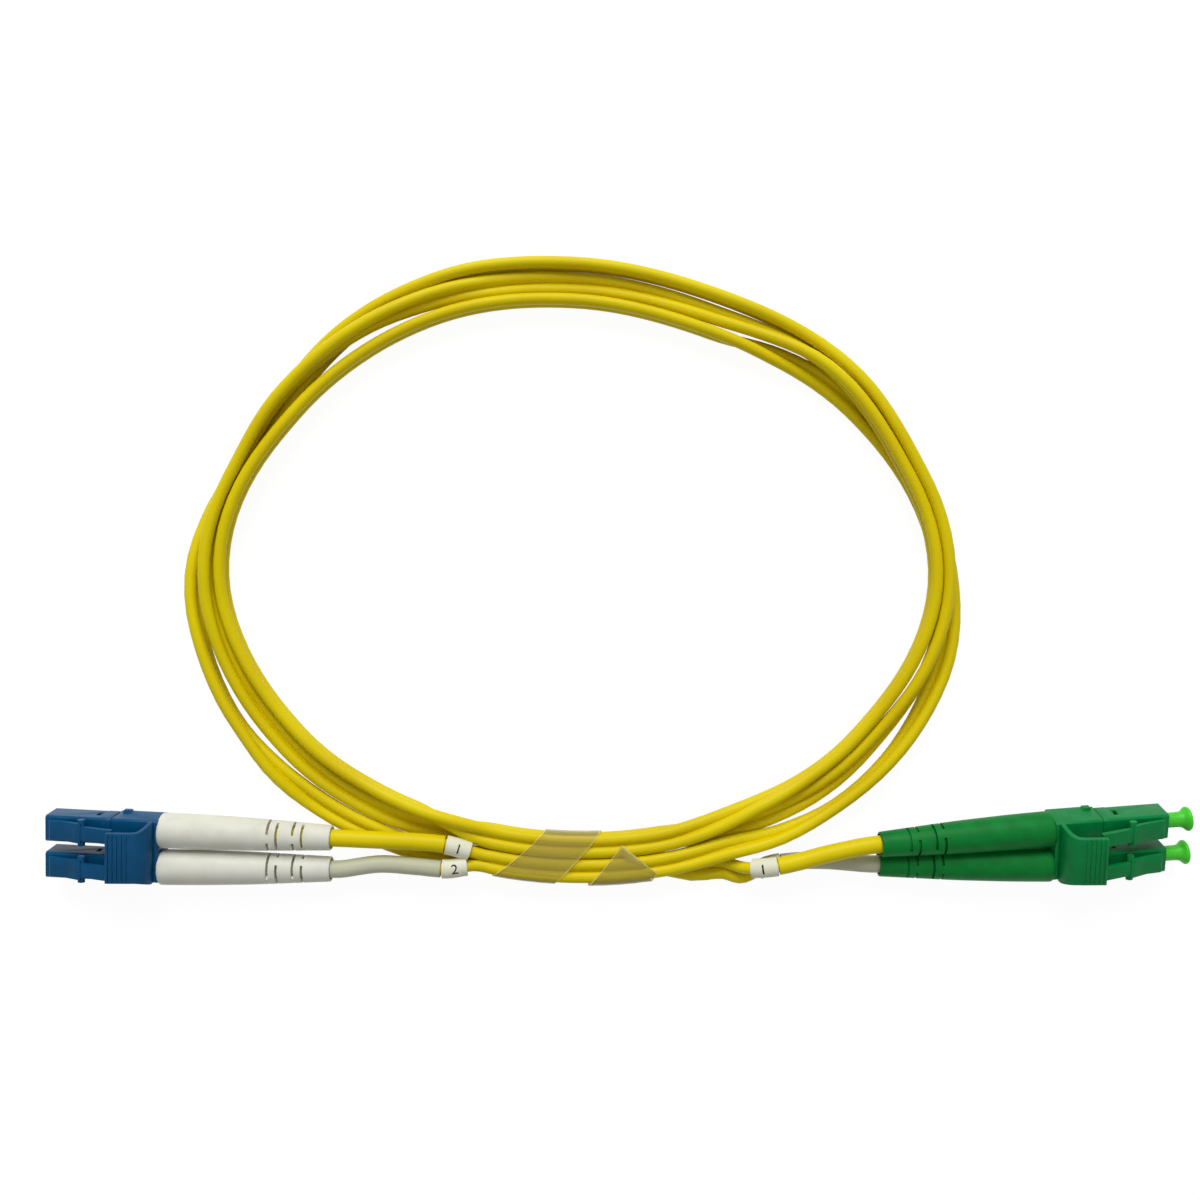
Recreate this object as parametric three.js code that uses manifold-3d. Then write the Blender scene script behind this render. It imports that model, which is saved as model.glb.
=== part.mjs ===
// A duplex fibre optic patch cord: two LC plugs in a clip at each end, and about
// 1.2 m of twin yellow cord between them, coiled in three turns that a strip of
// spiral wrap holds together. Millimetres, +Z up, the cord lies on z = 0.

import * as THREE from "three";
import { mergeVertices } from "three/addons/utils/BufferGeometryUtils.js";
import Module from "manifold-3d";

// ---------------------------------------------------------------------------
// Driving dimensions, in millimetres and degrees
// ---------------------------------------------------------------------------

// Clearances
const seatGap = 0.3; // between pieces that touch on the real cord
const slipGap = 0.05; // round a turned piece that slides or is pressed in
const openGap = 0.1; // under a moving arm or trigger at its root

// Twin cord
const legDiameter = 2.0; // one jacketed fibre
const webSpacing = 2.04; // from one fibre's centre to the other's
const turnGap = 0.49; // clear space between the turns of the coil
const cordSides = 6;
const stepAngle = 10; // the coil is drawn with this many degrees a step
const straightAngle = 2.5; // and each end runs straight over this many

// Coil
const ringCentre = [-4.25, 4.59];
// Distance from the centre to the coil's inner edge, every 30 degrees
// anticlockwise from the bottom, where the wrap is.
const ringInnerRadii = [43.1, 46.0, 53.2, 58.7, 52.5, 45.0, 44.2, 47.6, 52.4, 57.7, 52.1, 45.1];
// The three turns, each row [angle, place across the coil, layer, roll].
// Places and layers count cords from the inner edge and from the table. At a
// roll of 0 the two fibres lie side by side, and at 90 one is above the other.
const coilRoute = [
  [-17, 3.0, 1.0, 0], [18, 3.0, 1.0, 0], [28, 2.95, 1.05, 15], [41, 3.6, 0.4, 60],
  [51, 3.8, 0.0, 90], [60, 3.8, 0.0, 80], [75, 3.15, 0.0, 45], [90, 1.7, 0.0, 5],
  [98, 1.25, 0.0, 0], [120, 0.95, 0.0, 0], [135, 0.7, 0.0, -35], [150, 0.5, 0.0, -90],
  [210, 0.5, 0.0, -90], [225, 0.5, 0.1, -90], [240, 0.5, 0.55, -90], [255, 0.5, 1.0, -90],
  [270, 0.5, 0.55, -90], [285, 0.5, 0.0, -90], [312, 0.5, 0.0, -90], [325, 0.5, 0.75, -90],
  [334, 0.7, 1.0, -50], [343, 1.0, 1.0, 0],
  [378, 1.0, 1.0, 0], [388, 0.8, 1.0, 25], [400, 0.5, 0.6, 70], [413, 0.5, 0.0, 90],
  [421, 0.5, 0.0, 90], [435, 0.5, 0.6, 90], [450, 0.5, 1.0, 90], [465, 0.6, 1.0, 90],
  [480, 1.4, 1.0, 90], [490, 1.9, 0.8, 100], [502, 2.05, 0.15, 130], [512, 2.0, 0.0, 145],
  [540, 2.0, 0.0, 180], [555, 1.95, 0.1, 195], [570, 2.0, 0.5, 230], [582, 2.1, 1.0, 255],
  [600, 2.2, 1.05, 270], [615, 1.6, 1.05, 270], [630, 1.6, 0.95, 265], [645, 1.75, 0.15, 235],
  [660, 1.9, 0.0, 195], [680, 2.0, 0.0, 180], [690, 1.8, 0.0, 180], [703, 1.0, 0.0, 180],
  [737, 1.0, 0.0, 180], [749, 1.5, 0.0, 178], [759, 1.8, 0.0, 165], [769, 1.9, 0.0, 150],
  [780, 1.8, 0.0, 130], [795, 1.7, 0.8, 105], [810, 1.5, 1.02, 90], [825, 1.6, 1.02, 90],
  [840, 2.6, 0.6, 90], [852, 3.2, 0.0, 90], [870, 3.5, 0.0, 90], [900, 3.5, 0.0, 90],
  [918, 3.5, 0.0, 85], [930, 3.25, 0.0, 75], [945, 2.75, 0.0, 35], [960, 2.0, 0.0, 0],
  [972, 1.5, 0.0, 0], [982, 2.05, 0.0, 12], [992, 2.9, 0.0, 60], [1002, 3.4, 0.0, 88],
  [1012, 3.85, 0.0, 90], [1022, 4.0, 0.0, 45], [1030, 4.0, 0.0, 0], [1043, 3.97, 0.0, 0],
  [1052, 3.75, 0.0, 0],
  [1063, 3.0, 0.0, 0], [1096, 3.0, 0.0, 0], [1106, 4.35, 0.0, 0],
];

// Spiral wrap
const wrapThickness = 0.5;
const wrapWidth = 9.5; // along the bundle
const wrapPitch = 15.2; // along the bundle, for one turn round it
const wrapStart = -15.4; // place of its first edge on the coil
const wrapHold = [-18, 18]; // the stretch of the coil that it lifts off the table
const wrapFade = 14; // the cord comes down to the table over these degrees
const wrapTurn = [-40, 505]; // from under the outer side, over the top, and round again
const wrapCut = 75; // its free end is cut slantwise over this much of a turn
const wrapStepsPerTurn = 16;
const wrapSquareness = 4; // exponent of the rounded outline

// Plug body
const plugPitch = 6.25;
const plugWidth = 4.5;
const plugLength = 10.5;
const plugChamfer = 0.3;
const socketDiameter = 3.1;
const socketDepth = 4.0;
const shoulderLength = 0.8;
const shoulderBore = 1.85;
const chamberDiameter = 3.3;
const windowSetback = 2.05; // from the plug's rear to the side window
const windowLength = 0.7;
const windowHeight = 1.5;

// Ferrule and its spring
const ferruleDiameter = 1.25;
const ferruleLength = 6.0;
const ferruleSetback = 0.4; // behind the plug's front face
const ferruleChamfer = 0.15;
const flangeLength = 1.8;
const springWire = 0.3;
const springDiameter = 2.2; // of the wire's centre line
const springCoils = 5;
const springSteps = 8;
const springSides = 5;
const bufferDiameter = 0.9;
const bufferSetback = 1.0; // room for the ferrule to slide back

// Rear body and crimp ring
const backboneWidth = 3.1;
const spigotLength = 1.2; // its round nose, in the plug's chamber ahead of the clip
const stubDiameter = 2.6;
const stubLength = 5.7;
const backboneBore = 1.5;
const crimpWall = 0.35;
const crimpOverhang = 3.0; // past the end of the stub

// Duplex clip
const clipLength = 7.2;
const clipFloor = 0.7;
const clipGrooveWidth = 1.2;
const clipGrooveDepth = 1.4;
const clipGrooveEnd = 1.5; // ahead of the clip's back
const nubStart = 0.6; // from the clip's front face
const nubLength = 1.7;
const nubHeight = 1.0;
const nubReach = 0.4;
const nubLevel = 0.6; // above the clip's underside

// Latch arm
const latchRoot = 0.9; // from the plug's front face
const latchHeight = 0.65; // of the root block
const latchThickness = 0.8;
const latchReach = 11.2;
const latchRise = 2.15; // of its underside, from root to tail
const latchPadWidth = 3.3;
const latchPadLength = 5.7;
const latchRootBlock = [2.7, 0.25]; // where its top starts to rise, and by how much it is higher there
const latchOverlap = 1.0; // of the tail into the pad
const latchTailWidth = 2.4;
const pegStart = 5.5; // from the latch's root
const pegLength = 1.3;
const pegSpan = 4.4;
const pegHeight = 1.0;

// Trigger
const triggerWidth = 8.5;
const triggerThickness = 0.8;
const triggerReach = 6.4; // from the clip's back to the free end
const triggerTailGap = 0.4; // over the ends of the latch arms
const triggerSlope = 0.13;
const triggerRiser = 2.8; // length of the curved part at the back
const triggerUpright = [0.9, 0.7]; // height of its straight foot, outside and inside
// The riser's curve, outside and inside: ahead of the clip's back, and above the plate's underside.
const triggerOuterCurve = [[0.4, -0.7], [1.3, 0.4]];
const triggerInnerCurve = [[1.9, -0.45], [1.2, -1.3]];
const triggerKneeOffset = 0.2; // the underside bends this much behind the top
const ridgeCount = 5;
const ridgeHeight = 0.2;
const ridgeWidth = 0.5;
const ridgeTop = [0.2, 0.8]; // where the flat top of a ridge starts and ends, as shares of its width

// Boot
const bootClearance = 0.35; // between the two boots of a pair
const bootLength = 28.8;
const bootTipDiameter = 4.2;
const bootShoulder = [0.2, 0.08]; // share of the length, and how much its radius is less there
const bootWaist = [0.5, 2.65]; // share of the length, radius there
const bootTipEdge = 0.1;
const bootCavityGap = 0.45; // round the crimp ring
const bootBoreGap = 0.25; // round the sleeve
const slotPlaces = [18.3, 19.8, 22.5, 24.0]; // from the boot's wide end
const slotWidth = 0.5;
const slotFloor = 0.9; // from the axis to the slot's flat floor
const slotHalfSpan = 1.6;

// Sleeve, rings and dust cap
const sleeveDiameter = 3.0;
const sleeveBore = 2.6;
const ringLength = 4.1;
const ringDiameter = 3.2;
const ringBore = 2.7;
const capGap = 0.3; // round the ferrule, and inside the socket
const capInside = 3.2; // inside the plug
const capOutside = 4.3; // in front of the plug
const capNeck = 2.0;
const capFlareDiameter = 4.0;
// The flare's outside and its dished front: behind or ahead of the cap's front, and inside its rim.
const capFlareStart = [0.9, 0.15]; // ahead of the neck, and how much wider it is there
const capRim = [[0.4, 0.1], [0.2, 0], [0, 0.15]];
const capDish = [[0.35, 0.7], [0.6, capFlareDiameter / 2]];
const capFloor = 0.4; // the hollow's end, behind the neck's front

// Where the two ends lie, and how each is turned and rolled
const plugSpan = 186.0; // from one end's plug faces to the other's
const plugSpanMiddle = 0.85;
const blueEnd = {
  prefix: "blue",
  front: [plugSpanMiddle - plugSpan / 2, -40.7],
  turn: -3,
  roll: 7,
  toeIn: { 1: -1, 2: 2.6 },
  lift: { 1: 1.6, 2: 0.6 },
};
const greenEnd = {
  prefix: "green",
  front: [plugSpanMiddle + plugSpan / 2, -39.7],
  turn: 184.3,
  roll: -18,
  toeIn: { 1: 0.3, 2: 3.4 },
  lift: { 1: 1.4, 2: -2.5 },
};

// Where the single fibres pass between the boots' tips and the twin cord
const bluePath = {
  1: [[-37, -40.1, 4.6], [-31, -40.4, 4.5], [-25.6, -40.95, 4.45]],
  2: [[-37, -44.3, 3.8], [-31, -44.6, 4.1], [-25.6, -45.0, 4.3]],
};
const greenPath = {
  1: [[38, -42.2, 5.7], [32.5, -43.7, 5.5], [28.5, -44.5, 5.4], [24.5, -45.0, 3.6]],
  2: [[38, -44.1, 1.95], [32.5, -44.3, 1.68], [28.5, -45.0, 1.65], [24, -47.2, 1.1]],
};
const blueRingPlace = 7.0; // from a label ring's middle to the twin cord
const greenRingPlace = 11.8;
const sleeveEndGap = 0.6; // between a sleeve and its label ring
const legStraight = [1.0, 1.5]; // how far a fibre runs straight before and after its boot's tip
const tubeStep = { cord: 4, ring: 2, curve: 2 }; // lengths at which single fibres are drawn
const tubeSides = { cord: 8, ring: 10 };

// ---------------------------------------------------------------------------
// Sizes that follow from these
// ---------------------------------------------------------------------------

const half = plugWidth / 2;
const cordRadius = legDiameter / 2;
const halfWeb = webSpacing / 2;
const coilPitch = legDiameter + turnGap;
const clipStart = plugLength + seatGap;
const clipEnd = clipStart + clipLength;
const clipHalfWidth = plugPitch / 2 + half;
const clipBottom = -half - clipFloor;
const cavityWidth = backboneWidth + 2 * seatGap;
const stubEnd = clipEnd + stubLength;
const flangeStart = socketDepth + shoulderLength;
const flangeEnd = flangeStart + flangeLength;
const backboneStart = clipStart - spigotLength;
const windowStart = plugLength - windowSetback - windowLength;
const crimpStart = clipEnd + seatGap + openGap;
const crimpEnd = stubEnd + crimpOverhang;
const crimpBore = stubDiameter + 2 * seatGap;
const crimpDiameter = crimpBore + 2 * crimpWall;
const bootStart = clipEnd + 1.5 * seatGap;
const bootEnd = bootStart + bootLength;
const bootDiameter = plugPitch - bootClearance;
const bootPivot = (crimpStart + crimpEnd) / 2;
const legStart = stubEnd + seatGap;
const sleeveStart = crimpEnd + seatGap;
const bootBore = sleeveDiameter + 2 * bootBoreGap;
const bootCavity = crimpDiameter + 2 * bootCavityGap;
const bootCavityEnd = crimpEnd + 2 * seatGap;
const latchPivot = { x: latchRoot + seatGap, z: half + openGap + latchHeight / 2 };
const latchTail = latchRoot + latchReach;
const tailTop = half + openGap + latchRise + latchThickness;
const triggerPivot = { x: clipEnd - triggerThickness / 2, z: half + triggerThickness / 2 };
const holdLift = wrapThickness + seatGap + slipGap;

// ---------------------------------------------------------------------------
// Helpers
// ---------------------------------------------------------------------------

const wasm = await Module();
wasm.setup();
const weldDistance = 1e-4;
const turnedSides = { round: 20, small: 16, bore: 12, wire: 8 };
const past = 1; // how far a cutting tool reaches beyond the piece it cuts

// A closed geometry as a solid, turned right side out.
function solidOf(geometry) {
  const merged = mergeVertices(stripped(geometry), weldDistance);
  const index = new Uint32Array(merged.index.array);
  const make = () => new wasm.Manifold(new wasm.Mesh({
    numProp: 3,
    vertProperties: merged.attributes.position.array,
    triVerts: index,
  }));
  if (signedVolume(merged.attributes.position, index) > 0) return make();
  for (let i = 0; i < index.length; i += 3) {
    [index[i + 1], index[i + 2]] = [index[i + 2], index[i + 1]];
  }
  return make();
}

function stripped(geometry) {
  const bare = geometry.clone();
  bare.deleteAttribute("normal");
  bare.deleteAttribute("uv");
  return bare;
}

function signedVolume(position, index) {
  const [a, b, c] = [new THREE.Vector3(), new THREE.Vector3(), new THREE.Vector3()];
  let volume = 0;
  for (let i = 0; i < index.length; i += 3) {
    a.fromBufferAttribute(position, index[i]);
    b.fromBufferAttribute(position, index[i + 1]);
    c.fromBufferAttribute(position, index[i + 2]);
    volume += a.dot(b.cross(c)) / 6;
  }
  return volume;
}

function geometryOf(solid) {
  const mesh = solid.getMesh();
  const position = new Float32Array(mesh.numVert * 3);
  for (let i = 0; i < mesh.numVert; i += 1) {
    for (let k = 0; k < 3; k += 1) {
      position[3 * i + k] = mesh.vertProperties[mesh.numProp * i + k];
    }
  }
  const geometry = new THREE.BufferGeometry();
  geometry.setAttribute("position", new THREE.BufferAttribute(position, 3));
  geometry.setIndex(new THREE.BufferAttribute(new Uint32Array(mesh.triVerts), 1));
  geometry.computeVertexNormals();
  return geometry;
}

// A box between two corners.
function block([x0, y0, z0], [x1, y1, z1]) {
  const geometry = new THREE.BoxGeometry(x1 - x0, y1 - y0, z1 - z0);
  geometry.translate((x0 + x1) / 2, (y0 + y1) / 2, (z0 + z1) / 2);
  return solidOf(geometry);
}

// A turned piece on the X axis: the profile's points are [x, radius].
function turned(profile, sides) {
  const geometry = new THREE.LatheGeometry(profile.map(([x, r]) => new THREE.Vector2(r, x)), sides);
  geometry.rotateZ(-Math.PI / 2);
  return solidOf(geometry);
}

// A turned tube on the X axis.
function ringOf(x0, x1, outer, inner, sides) {
  return turned([[x0, inner], [x0, outer], [x1, outer], [x1, inner], [x0, inner]], sides);
}

// A turned rod on the X axis.
function rodOf(x0, x1, radius, sides) {
  return turned([[x0, 0], [x0, radius], [x1, radius], [x1, 0]], sides);
}

// A bar along X, from its outline in Y and Z.
function barOf(outline, x0, x1) {
  const shape = new THREE.Shape(outline.map(([y, z]) => new THREE.Vector2(y, z)));
  const geometry = new THREE.ExtrudeGeometry(shape, { depth: x1 - x0, bevelEnabled: false });
  geometry.rotateX(Math.PI / 2);
  geometry.rotateZ(Math.PI / 2);
  geometry.translate(x0, 0, 0);
  return solidOf(geometry);
}

// A plate across Y, from its side outline in X and Z.
function plateOf(outline, width) {
  const shape = new THREE.Shape(outline.map(([x, z]) => new THREE.Vector2(x, z)));
  const geometry = new THREE.ExtrudeGeometry(shape, { depth: width, bevelEnabled: false });
  geometry.rotateX(Math.PI / 2);
  geometry.translate(0, width / 2, 0);
  return solidOf(geometry);
}

// A closed skin through rings of points, each ring with the same number of them.
function loftOf(rings) {
  const count = rings[0].length;
  const points = rings.flat();
  const index = [];
  for (let i = 0; i + 1 < rings.length; i += 1) {
    for (let k = 0; k < count; k += 1) {
      const a = i * count + k;
      const b = i * count + ((k + 1) % count);
      index.push(a, b, b + count, a, b + count, a + count);
    }
  }
  for (const [ring, flip] of [[0, true], [rings.length - 1, false]]) {
    const centre = rings[ring].reduce((sum, p) => sum.clone().add(p)).divideScalar(count);
    points.push(centre);
    for (let k = 0; k < count; k += 1) {
      const a = ring * count + k;
      const b = ring * count + ((k + 1) % count);
      index.push(...(flip ? [b, a, points.length - 1] : [a, b, points.length - 1]));
    }
  }
  const geometry = new THREE.BufferGeometry().setFromPoints(points);
  geometry.setIndex(index);
  return solidOf(geometry);
}

function polygon(radius, sides) {
  return Array.from({ length: sides }, (_, k) => {
    const angle = (2 * Math.PI * (k + 0.5)) / sides;
    return new THREE.Vector2(radius * Math.cos(angle), radius * Math.sin(angle));
  });
}

// A tube along a curve, hollow where a bore is given.
function tubeAlong(curve, radius, bore, sides, step) {
  const shape = new THREE.Shape(polygon(radius, sides));
  if (bore) shape.holes.push(new THREE.Path(polygon(bore, sides)));
  const steps = Math.max(1, Math.round(curve.getLength() / step));
  return solidOf(new THREE.ExtrudeGeometry(shape, { steps, extrudePath: curve, bevelEnabled: false }));
}

function radians(degrees) {
  return THREE.MathUtils.degToRad(degrees);
}

// ---------------------------------------------------------------------------
// Materials
// ---------------------------------------------------------------------------

function plastic(color, roughness, extra = {}) {
  return new THREE.MeshStandardMaterial({ color, roughness, metalness: 0, ...extra });
}

function metal(color, roughness) {
  return new THREE.MeshStandardMaterial({ color, roughness, metalness: 1 });
}

const finish = {
  blue: () => plastic(0x14508c, 0.45),
  green: () => plastic(0x048a45, 0.45),
  lime: () => plastic(0x47cc2e, 0.4),
  whiteBoot: () => plastic(0xdcdccf, 0.55),
  greenBoot: () => plastic(0x0a7d3f, 0.5),
  yellow: () => plastic(0xd2c20c, 0.42),
  whiteSleeve: () => plastic(0xd0d3bd, 0.45),
  label: () => plastic(0xeeeee8, 0.6),
  wrap: () => plastic(0xe9dfa0, 0.35, { transparent: true, opacity: 0.5 }),
  ceramic: () => plastic(0xf5f3ec, 0.2),
  inner: () => plastic(0xe4e2d8, 0.5),
  steel: () => metal(0xb8b8b4, 0.35),
  brass: () => metal(0xc9b37a, 0.35),
};

const patchCord = new THREE.Group();
const connectorEnds = [];

function add(parent, name, solid, material) {
  const mesh = new THREE.Mesh(geometryOf(solid), material);
  mesh.name = name;
  parent.add(mesh);
  return mesh;
}

// ---------------------------------------------------------------------------
// Pieces of one plug, on the X axis with the front face at x = 0
// ---------------------------------------------------------------------------

function chamferedSquare(width, chamfer) {
  const h = width / 2;
  const c = h - chamfer;
  return [[-c, -h], [c, -h], [h, -c], [h, c], [c, h], [-c, h], [-h, c], [-h, -c]];
}

function housing() {
  const body = barOf(chamferedSquare(plugWidth, plugChamfer), 0, plugLength);
  const shoulder = socketDepth + shoulderLength;
  const rear = plugLength + past;
  const bore = turned([
    [-past, 0], [-past, socketDiameter / 2], [socketDepth, socketDiameter / 2],
    [socketDepth, shoulderBore / 2], [shoulder, shoulderBore / 2],
    [shoulder, chamberDiameter / 2], [rear, chamberDiameter / 2], [rear, 0],
  ], turnedSides.round);
  const window = block(
    [windowStart, -plugWidth, -windowHeight / 2],
    [windowStart + windowLength, plugWidth, windowHeight / 2],
  );
  return body.subtract(bore).subtract(window);
}

function latchArm() {
  const low = half + openGap;
  const x = (reach) => latchRoot + reach;
  const rise = (reach) => low + (latchRise * Math.max(0, reach - seatGap)) / (latchReach - seatGap);
  const padEnd = latchPadLength;
  const [rootEnd, rootRise] = latchRootBlock;
  const tailStart = padEnd - latchOverlap;
  const pad = plateOf([
    [x(0), low], [x(seatGap), low], [x(padEnd), rise(padEnd)],
    [x(padEnd), rise(padEnd) + latchThickness], [x(rootEnd), low + latchHeight + rootRise],
    [x(0), low + latchHeight],
  ], latchPadWidth);
  const tail = plateOf([
    [x(tailStart), rise(tailStart)], [x(latchReach), rise(latchReach)],
    [x(latchReach), rise(latchReach) + latchThickness],
    [x(tailStart), rise(tailStart) + latchThickness],
  ], latchTailWidth);
  const pegBase = rise(pegStart);
  const pegs = block(
    [x(pegStart), -pegSpan / 2, pegBase],
    [x(pegStart) + pegLength, pegSpan / 2, pegBase + pegHeight],
  );
  return pad.add(tail).add(pegs);
}

function ferrule() {
  const r = ferruleDiameter / 2;
  const end = ferruleSetback + ferruleLength;
  return turned([
    [ferruleSetback, 0], [ferruleSetback, r - ferruleChamfer],
    [ferruleSetback + ferruleChamfer, r], [end, r], [end, 0],
  ], turnedSides.small);
}

function flange() {
  return ringOf(
    flangeStart + slipGap, flangeEnd, chamberDiameter / 2 - seatGap,
    ferruleDiameter / 2 + slipGap, turnedSides.small,
  );
}

function spring() {
  const wire = springWire / 2;
  const start = flangeEnd + wire + slipGap;
  const end = backboneStart - wire - slipGap;
  const rings = [];
  const total = springCoils * springSteps;
  for (let i = 0; i <= total; i += 1) {
    const turn = (2 * Math.PI * i) / springSteps;
    const out = new THREE.Vector3(0, Math.cos(turn), Math.sin(turn));
    const centre = out.clone().multiplyScalar(springDiameter / 2);
    centre.x = start + ((end - start) * i) / total;
    rings.push(Array.from({ length: springSides }, (_, k) => {
      const angle = (2 * Math.PI * k) / springSides;
      return centre.clone()
        .addScaledVector(out, wire * Math.cos(angle))
        .add(new THREE.Vector3(wire * Math.sin(angle), 0, 0));
    }));
  }
  return loftOf(rings);
}

function backbone() {
  const nose = chamberDiameter / 2 - seatGap;
  const spigot = rodOf(backboneStart, clipStart + seatGap, nose, turnedSides.small);
  const square = barOf(chamferedSquare(backboneWidth, plugChamfer), clipStart, clipEnd);
  const stub = rodOf(clipEnd - seatGap, stubEnd, stubDiameter / 2, turnedSides.small);
  const bore = rodOf(backboneStart - past, stubEnd + past, backboneBore / 2, turnedSides.bore);
  return spigot.add(square).add(stub).subtract(bore);
}

function bufferedFibre() {
  return rodOf(flangeEnd + bufferSetback, stubEnd, bufferDiameter / 2, turnedSides.wire);
}

function crimpRing() {
  return ringOf(crimpStart, crimpEnd, crimpDiameter / 2, crimpBore / 2, turnedSides.small);
}

function boot() {
  const [shoulder, slimmer] = bootShoulder;
  const [share, waist] = bootWaist;
  const body = turned([
    [bootStart, bootCavity / 2], [bootStart, bootDiameter / 2],
    [bootStart + shoulder * bootLength, bootDiameter / 2 - slimmer],
    [bootStart + share * bootLength, waist],
    [bootEnd - plugChamfer, bootTipDiameter / 2], [bootEnd, bootTipDiameter / 2 - bootTipEdge],
    [bootEnd, bootBore / 2], [bootCavityEnd, bootBore / 2],
    [bootCavityEnd, bootCavity / 2], [bootStart, bootCavity / 2],
  ], turnedSides.round);
  return slotPlaces.reduce((made, place, i) => {
    const x0 = bootStart + place;
    const x1 = x0 + slotWidth;
    const span = slotHalfSpan;
    const top = i % 2
      ? block([x0, slotFloor, -span], [x1, bootDiameter, span])
      : block([x0, -span, slotFloor], [x1, span, bootDiameter]);
    const bottom = i % 2
      ? block([x0, -bootDiameter, -span], [x1, -slotFloor, span])
      : block([x0, -span, -bootDiameter], [x1, span, -slotFloor]);
    return made.subtract(top).subtract(bottom);
  }, body);
}

function dustCap() {
  const outer = socketDiameter / 2 - capGap;
  const inner = ferruleDiameter / 2 + capGap;
  const flare = capFlareDiameter / 2;
  const [ahead, wider] = capFlareStart;
  const front = [...capRim, ...capDish].map(([behind, inside]) => (
    [-capOutside + behind, flare - inside]
  ));
  return turned([
    [capInside, inner], [capInside, outer], [-capNeck, outer], [-capNeck - ahead, outer + wider],
    ...front,
    [-capNeck + capFloor, 0], [-capNeck + capFloor, inner], [capInside, inner],
  ], turnedSides.round);
}

// ---------------------------------------------------------------------------
// Pieces that hold two plugs together
// ---------------------------------------------------------------------------

function clipOutline() {
  const side = clipHalfWidth;
  const c = plugChamfer;
  return [
    [-side + c, clipBottom], [side - c, clipBottom], [side, clipBottom + c], [side, half - c],
    [side - c, half], [-side + c, half], [-side, half - c], [-side, clipBottom + c],
  ];
}

function clip() {
  const side = clipHalfWidth;
  let body = barOf(clipOutline(), clipStart, clipEnd);
  const cavity = cavityWidth / 2;
  for (const y of [-plugPitch / 2, plugPitch / 2]) {
    body = body.subtract(block(
      [clipStart - past, y - cavity, -cavity],
      [clipEnd + past, y + cavity, cavity],
    ));
  }
  body = body.subtract(block(
    [clipStart - past, -clipGrooveWidth / 2, half - clipGrooveDepth],
    [clipEnd - clipGrooveEnd, clipGrooveWidth / 2, half + past],
  ));
  const nubLow = clipBottom + nubLevel;
  return body.add(block(
    [clipStart + nubStart, -side - nubReach, nubLow],
    [clipStart + nubStart + nubLength, -side + seatGap, nubLow + nubHeight],
  )).add(block(
    [clipStart + nubStart, side - seatGap, nubLow],
    [clipStart + nubStart + nubLength, side + nubReach, nubLow + nubHeight],
  ));
}

function trigger() {
  const t = triggerThickness;
  const free = clipEnd - triggerReach;
  const flat = clipEnd - triggerRiser;
  const low = tailTop + triggerTailGap;
  const under = (x) => low + triggerSlope * (latchTail - x);
  const root = half + openGap;
  const bend = under(flat);
  const ridges = [];
  const spacing = (flat - free - ridgeWidth) / ridgeCount;
  for (let i = 0; i < ridgeCount; i += 1) {
    const x = flat - spacing * (i + 0.5);
    const top = ridgeTop.map((share) => [x - ridgeWidth * share, under(x) + t + ridgeHeight]);
    ridges.push([x, under(x) + t], ...top, [x - ridgeWidth, under(x - ridgeWidth) + t]);
  }
  const [outside, inside] = triggerUpright;
  const knee = flat + triggerKneeOffset;
  return plateOf([
    [clipEnd, root], [clipEnd, root + outside],
    ...triggerOuterCurve.map(([ahead, above]) => [clipEnd - ahead, bend + above]),
    [flat, bend + t],
    ...ridges,
    [free, under(free) + t], [free, under(free)],
    [knee, under(knee)],
    ...triggerInnerCurve.map(([ahead, above]) => [clipEnd - ahead, bend + above]),
    [clipEnd - t, root + inside], [clipEnd - t, root],
  ], triggerWidth);
}

// ---------------------------------------------------------------------------
// The two ends
// ---------------------------------------------------------------------------

function duplexEnd(end, shell, bootFinish, capped) {
  const roll = radians(end.roll);
  const lift = -Math.min(...clipOutline().map(([y, z]) => y * Math.sin(roll) + z * Math.cos(roll)));
  const turnedGroup = new THREE.Group();
  turnedGroup.position.set(end.front[0], end.front[1], lift);
  turnedGroup.rotation.z = radians(end.turn);
  const rolled = new THREE.Group();
  rolled.rotation.x = roll;
  turnedGroup.add(rolled);
  patchCord.add(turnedGroup);
  connectorEnds.push(turnedGroup);

  const boots = {};
  const mirror = Math.cos(radians(end.turn)) > 0 ? 1 : -1;
  for (const line of [1, 2]) {
    const side = (line === 1 ? 1 : -1) * mirror;
    const plug = new THREE.Group();
    plug.position.y = (side * plugPitch) / 2;
    rolled.add(plug);
    const named = (piece) => `${end.prefix}_${piece}_${line}`;
    add(plug, named("housing"), housing(), shell());
    add(plug, named("latch"), latchArm(), shell());
    add(plug, named("ferrule"), ferrule(), finish.ceramic());
    add(plug, named("ferrule_flange"), flange(), finish.brass());
    add(plug, named("spring"), spring(), finish.steel());
    add(plug, named("backbone"), backbone(), finish.inner());
    add(plug, named("buffered_fibre"), bufferedFibre(), finish.whiteSleeve());
    add(plug, named("crimp_ring"), crimpRing(), finish.steel());
    if (capped) add(plug, named("dust_cap"), dustCap(), finish.lime());

    const bootJoint = new THREE.Group();
    bootJoint.position.x = bootPivot;
    bootJoint.rotation.z = -side * radians(end.toeIn[line]);
    bootJoint.rotation.y = -radians(end.lift[line]);
    plug.add(bootJoint);
    const made = add(bootJoint, named("boot"), boot(), bootFinish());
    made.position.x = -bootPivot;
    boots[line] = made;
  }
  add(rolled, `${end.prefix}_clip`, clip(), shell());
  add(rolled, `${end.prefix}_trigger`, trigger(), shell());
  patchCord.updateMatrixWorld(true);
  return boots;
}

// ---------------------------------------------------------------------------
// The coil
// ---------------------------------------------------------------------------

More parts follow.
